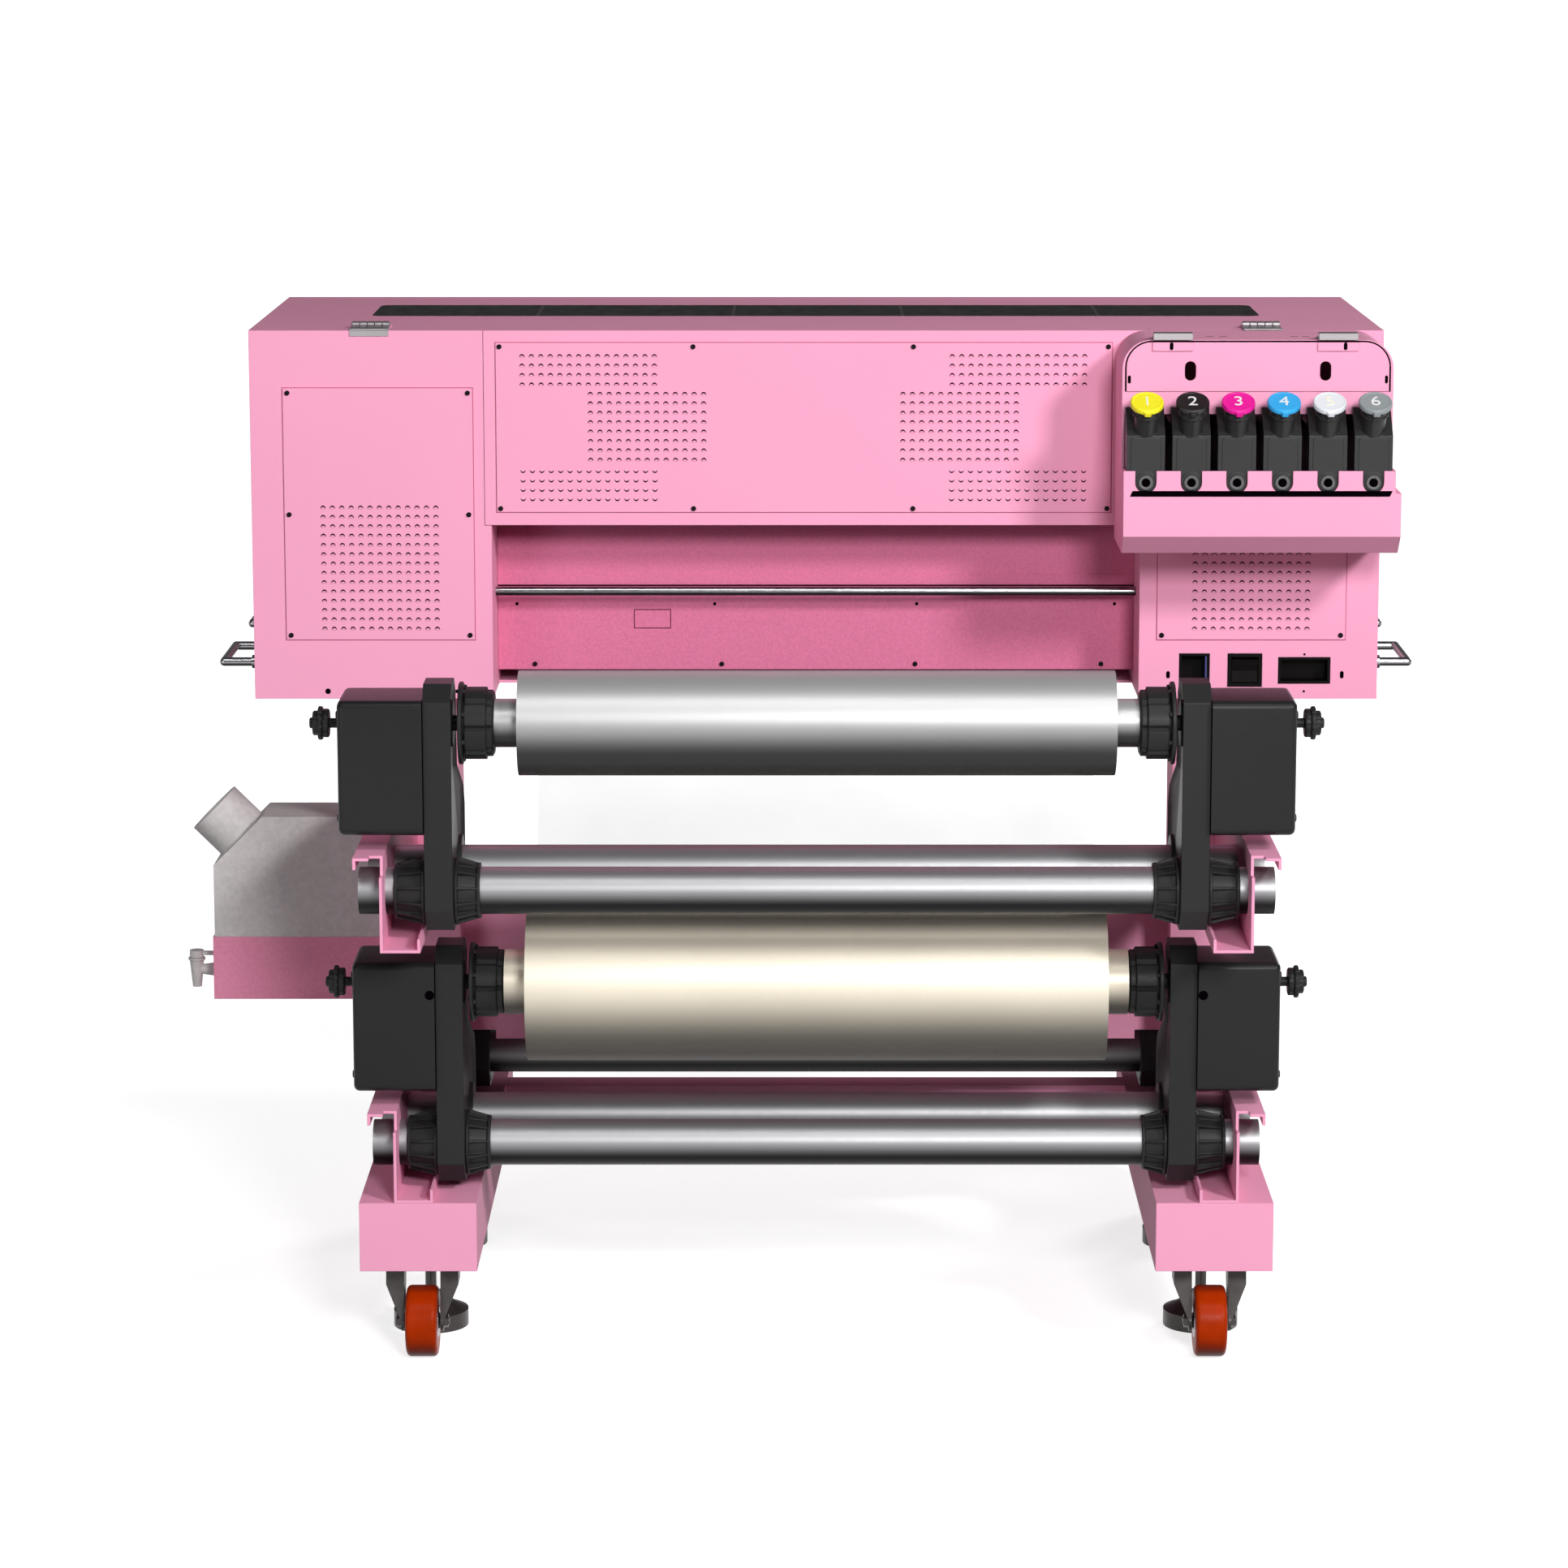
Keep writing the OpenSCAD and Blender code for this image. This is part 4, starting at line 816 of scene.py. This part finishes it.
def chuck(bm, side, axis, core_d, spindle_end, knob):
    """Ribbed drum with a plug in the core, a flange, a spindle and a grip knob."""
    def turn(profile, steps=48, notches=None):
        lathe(bm, (0, axis[0], axis[1]), X_AXIS * side, profile, steps, 0, notches)
    plug = core_d / 2 - 5
    turn([(CHUCK_IN - 40, 0), (CHUCK_IN - 40, plug - 2), (CHUCK_IN - 38, plug), (CHUCK_IN, plug)])
    turn([(CHUCK_IN, 0), (CHUCK_IN, 30), (CHUCK_IN + 2, 33.5), (CHUCK_IN + 7, 33.5),
          (CHUCK_IN + 8, 36.5), (CHUCK_IN + 29, 36.5), (CHUCK_IN + 29, 31), (CHUCK_IN + 31.5, 31)],
         64, (8, 3.5, 33))
    turn([(CHUCK_IN + 31.5, 31), (CHUCK_IN + 31.5, 40.5), (CHUCK_IN + 32.5, 41.8),
          (CHUCK_OUT - 0.6, 41.8), (CHUCK_OUT, 40.8), (CHUCK_OUT, 8)], 64)
    for k in range(BOLTS):
        a = 2 * math.pi * (k + 0.5) / BOLTS
        u, v = BOLT_CIRCLE_R * math.cos(a), BOLT_CIRCLE_R * math.sin(a)
        at = (side * (CHUCK_IN + 31.5), axis[0] + u, axis[1] + v)
        lathe(bm, at, -X_AXIS * side, [(0, 2.6), (2.2, 2.6), (2.6, 2.2), (2.6, 0)], 12)
    turn([(CHUCK_OUT, 8), (spindle_end, 8), (spindle_end, 0)], 32)
    if knob:
        e = spindle_end
        turn([(e, 5), (e + 11, 5)], 24)
        turn([(e, 12), (e + 1.5, 12), (e + 2.2, 11), (e + 2.2, 5)], 32)
        turn([(e + 11, 5), (e + 11, 13.3), (e + 12, 14.5), (e + 16.5, 14.5), (e + 17.5, 13.5)],
             48, (4, 1.2, 14))
        turn([(e + 17.5, 13.5), (e + 17.5, 16), (e + 18.4, 17), (e + 21.4, 17), (e + 22, 16.2)],
             48, (3, 1.4, 16.5))
        turn([(e + 22, 16.2), (e + 22, 12.5), (e + 26.5, 12.5), (e + 27.5, 11.5), (e + 27.5, 5.5),
              (e + 30, 5.5), (e + 31, 4.5), (e + 31, 0)], 48, (4, 1, 12))


def chucks(name, body, node, axis, core_d, reach, knob):
    bm = bmesh.new()
    for side in SIDES:
        chuck(bm, side, axis, core_d, ARM_OUT + reach, knob)
    piece(name, bm, [black_plastic], body, [node])


chucks("upper_grip_chucks", "upper_roll", "upper_chucks", UPPER_AXIS, 49, REAR_BOX_W, True)
chucks("lower_grip_chucks", "lower_roll", "lower_chucks", LOWER_AXIS, 68, REAR_BOX_W, True)
chucks("takeup_grip_chucks", "takeup", "takeup_chucks", FRONT_AXIS, 68, FRONT_BOX_W, False)


def clamp(bm, side, x, length, at):
    """Cone collar with thin ribs that runs `length` outwards from x, or inwards where it is negative."""
    way = X_AXIS * side * (1 if length > 0 else -1)
    reach = abs(length)
    origin = Vector((side * x, at[0], at[1]))
    bore = TUBE_R + 0.1
    cone = [(0, bore), (0, 33.5), (1, 34.5), (3.4, 34.5), (4, 28.6), (reach - 4, 25.8), (reach - 3, 28.3),
            (reach - 0.6, 28.3), (reach, 27.5), (reach, bore)]
    lathe(bm, origin, way, cone, 64)
    for k in range(RIBS):
        a = 2 * math.pi * (k + 0.5) / RIBS
        out = Y_AXIS * math.cos(a) + Z_AXIS * math.sin(a)
        tangent = way.cross(out)
        rib = [origin + way * along + out * r + tangent * thick * w
               for along, low, high, thick in ((3, 27, 34.3, 1.5), (reach - 2, 25, 28, 0.9))
               for r in (low, high) for w in SIDES]
        add(bm, rib, SIX_SIDES)


def clamps():
    bm = bmesh.new()
    for side in SIDES:
        for tube in (UPPER_TUBE, LOWER_TUBE, FRONT_TUBE):
            clamp(bm, side, ARM_OUT, 32, tube)
            clamp(bm, side, ARM_IN, -26, tube)
    piece("ribbed_clamps", bm, [black_plastic], "frame", ["tube_clamps"])


clamps()


def arm(bm, side, tube, way, rise):
    """Cast arm with a sunk web on both faces and raised rings round the tubes and the spindle."""
    rim, heel = 38, 84
    shape = [
        (-rim, -15), (-15, -rim), (PITCH + 15, -rim), (PITCH + rim, -15), (PITCH + rim, heel - 22),
        (PITCH + 22, heel), (rim + 10, rise - 50), (rim + 2, rise + 26), (20, rise + 43), (-20, rise + 43),
        (-rim, rise + 26)
    ]
    outline = [(tube[0] + way * u, tube[1] + v) for u, v in shape]
    verts = [[bm.verts.new(Vector((side * x, *p)) * MM) for p in outline] for x in (ARM_IN, ARM_OUT)]
    n = len(outline)
    for i in range(n):
        j = (i + 1) % n
        bm.faces.new([verts[0][i], verts[0][j], verts[1][j], verts[1][i]])
    ends = [bm.faces.new(ring) for ring in verts]
    bm.normal_update()
    bmesh.ops.recalc_face_normals(bm, faces=bm.faces)
    for end in ends:
        bmesh.ops.inset_region(bm, faces=[end], thickness=WEB_RIM * MM, depth=-WEB_SUNK * MM,
                               use_even_offset=True)
    depth = ARM_OUT - ARM_IN
    for u, v, r in ((0, 0, TUBE_RING_R), (PITCH, 0, TUBE_RING_R), (0, rise, SPINDLE_RING_R)):
        centre = (side * ARM_IN, tube[0] + way * u, tube[1] + v)
        ring = [(0, 0), (0, r - 1), (1, r), (depth - 1, r), (depth, r - 1), (depth, 0)]
        lathe(bm, centre, X_AXIS * side, ring, 48)


def arms(name, node, tube, way, rise):
    bm = bmesh.new()
    for side in SIDES:
        one = bmesh.new()
        arm(one, side, tube, way, rise)
        part = bpy.data.meshes.new("part")
        one.to_mesh(part)
        one.free()
        bm.from_mesh(part)
        bpy.data.meshes.remove(part)
    piece(name, bm, [black_plastic], "frame", [node], bevel=1.8)


arms("upper_cast_arms", "upper_arms", UPPER_TUBE, 1, 172)
arms("lower_cast_arms", "lower_arms", LOWER_TUBE, 1, 172)
arms("front_cast_arms", "front_arms", FRONT_TUBE, -1, 155)


def drive_box(bm, side, axis, way, width):
    """Moulded motor cover, rounded towards its outer face, with a bearing collar and screws."""
    depth, height, r = BOX_DEPTH, BOX_HEIGHT, BOX_R
    middle = (axis[0] - way * depth * BOX_BACK + way * depth / 2, axis[1] - BOX_DROP + height / 2)
    steps = [(0, 0)] + [(width - r + r * math.sin(a), r * (1 - math.cos(a)))
                        for a in (math.pi / 2 * k / 6 for k in range(7))]
    rings = []
    for along, inset in steps:
        ring = rounded(depth - 2 * inset, height - 2 * inset, max(2.0, r + 2 - inset))
        rings.append([bm.verts.new(Vector((side * (ARM_OUT + along), middle[0] + u, middle[1] + v)) * MM)
                      for u, v in ring])
    for near, far in zip(rings, rings[1:]):
        for i in range(len(near)):
            j = (i + 1) % len(near)
            bm.faces.new([near[i], near[j], far[j], far[i]])
    bm.faces.new(rings[-1])
    face_x = side * (ARM_OUT + width)
    collar = [(0, 17), (1.6, 17), (2.2, 16.2), (2.2, 9.5), (0.5, 8.2)]
    lathe(bm, (face_x, *axis), X_AXIS * side, collar)
    for u in SIDES:
        for v in SIDES:
            at = (face_x, middle[0] + u * (depth / 2 - BOX_SCREW_IN),
                  middle[1] + v * (height / 2 - BOX_SCREW_IN))
            lathe(bm, at, X_AXIS * side, [(0, 4), (1.4, 4), (2, 3.2), (2, 1.8), (0.8, 1.8), (0.8, 0)], 16)


def drive_boxes():
    bm = bmesh.new()
    for side in SIDES:
        drive_box(bm, side, UPPER_AXIS, 1, REAR_BOX_W)
        drive_box(bm, side, LOWER_AXIS, 1, REAR_BOX_W)
        drive_box(bm, side, FRONT_AXIS, -1, FRONT_BOX_W)
    piece("drive_covers", bm, [black_satin], "frame", ["drive_boxes"], smooth=30)


drive_boxes()
flat_holes("drive_cover_holes", "frame", [
    (side * 400, LOWER_AXIS[1] - 5, 10, 10, LOWER_AXIS[0] - BOX_DEPTH * BOX_BACK) for side in SIDES
])


# ---- Hinges and casters ----

HINGE_HALF, PIN_Z, BARREL_R = 20, TOP_Z + 4, 3.5
KNUCKLES = 5
LID_HINGE_XS, LID_HINGE_Y = (-472.5, 472.5), REAR_Y + 28
FLAP_HINGE_XS = (369, 540)
CASTER_X, CASTER_Y, FORK_TOP_Z = 414, 266, 101.7


def knuckled_hinge(bm, x, y, leaf_back):
    """Barrel of knuckles on its pin, with a screwed leaf on the fixed side."""
    half, z, r = HINGE_HALF, PIN_Z, BARREL_R
    for k in range(KNUCKLES):
        a = x - half + 2 * half * k / KNUCKLES + 0.25
        b = x - half + 2 * half * (k + 1) / KNUCKLES - 0.25
        barrel = [(0, 0), (0, r - 0.3), (0.3, r), (b - a - 0.3, r), (b - a, r - 0.3), (b - a, 0)]
        lathe(bm, (a, y, z), X_AXIS, barrel, 24)
    pin = [(0, 0), (0, 1.6), (2 * half + 1.6, 1.6), (2 * half + 1.6, 0)]
    lathe(bm, (x - half - 0.8, y, z), X_AXIS, pin, 16)
    low_y, high_y = sorted((y, leaf_back))
    outline = moved(rounded(2 * half, high_y - low_y, 2), x, (low_y + high_y) / 2)
    prism(bm, outline, "z", z - 4, z - 2)
    for k in (-0.65, 0, 0.65):
        at = (x + k * half, (low_y + high_y) / 2, z - 2)
        lathe(bm, at, Z_AXIS, [(0, 3), (0.6, 2.6), (0.9, 1.4), (0.9, 0)], 16)


def hinge_sets():
    lid, flap = bmesh.new(), bmesh.new()
    y, z = FLAP_Y, TOP_Z
    for x in LID_HINGE_XS:
        knuckled_hinge(lid, x, LID_HINGE_Y, LID_HINGE_Y - 24)
        block(lid, (x - 20.5, REAR_Y - 1.4, z - 6), (x + 20.5, REAR_Y + 0.2, z + 0.5))
        block(lid, (x - 20.5, REAR_Y - 1.4, z + 0.1), (x + 20.5, REAR_Y + 4, z + 1.9))
    for x in FLAP_HINGE_XS:
        knuckled_hinge(flap, x, y - 1, y + 25)
        cover = [(y - 5, z + 0.4), (y - 4.6, z), (y - 4.2, z + 0.4), (y - 4.2, z + 6.7), (y + 8, z + 6.7),
                 (y + 8, z + 7.5), (y - 4.4, z + 7.5), (y - 5, z + 6.9)]
        prism(flap, cover, "x", x - 20.2, x + 20.2)
    piece("lid_hinges", lid, [hinge_steel], "frame", ["hinges"])
    piece("flap_hinges", flap, [hinge_steel], "frame", ["hinges"])


hinge_sets()


def wheel_hubs():
    """Bearing plate on both faces of each wheel."""
    for name in [n for n in NODES if n.startswith("caster_wheel")]:
        low, high = corners(name)
        bm = bmesh.new()
        middle = (low + high) / 2
        half = (high.x - low.x) / 2
        for way in SIDES:
            hub = [(0, 4.2), (half + 0.4, 4.2), (half + 1.4, 5.5), (half + 1.4, 8), (half + 0.2, 9.5),
                   (half + 0.2, 15), (half + 0.6, 16), (half + 0.1, 17.5), (half - 2, 17.5)]
            lathe(bm, middle, X_AXIS * way, hub, 32)
        body = name.replace("caster_wheel", "wheel")
        piece(name.replace("caster", "hub"), bm, [zinc], body)


wheel_hubs()


def fork_races():
    """Ball race between each fork and its mounting plate."""
    for name in [n for n in NODES if n.startswith("caster_fork")]:
        low = corners(name)[0]
        side = 1 if low.x > 0 else -1
        way = 1 if low.y > 0 else -1
        bm = bmesh.new()
        race = [(-11, 0), (-11, 8), (-9, 8), (-9, 14), (-7.5, 19), (-5, 21.5), (-1, 21.5), (0, 20)]
        lathe(bm, (side * CASTER_X, way * CASTER_Y, FORK_TOP_Z), Z_AXIS, race, 40)
        body = name.replace("caster_fork", "fork")
        piece(name.replace("caster_fork", "race"), bm, [zinc], body)


fork_races()
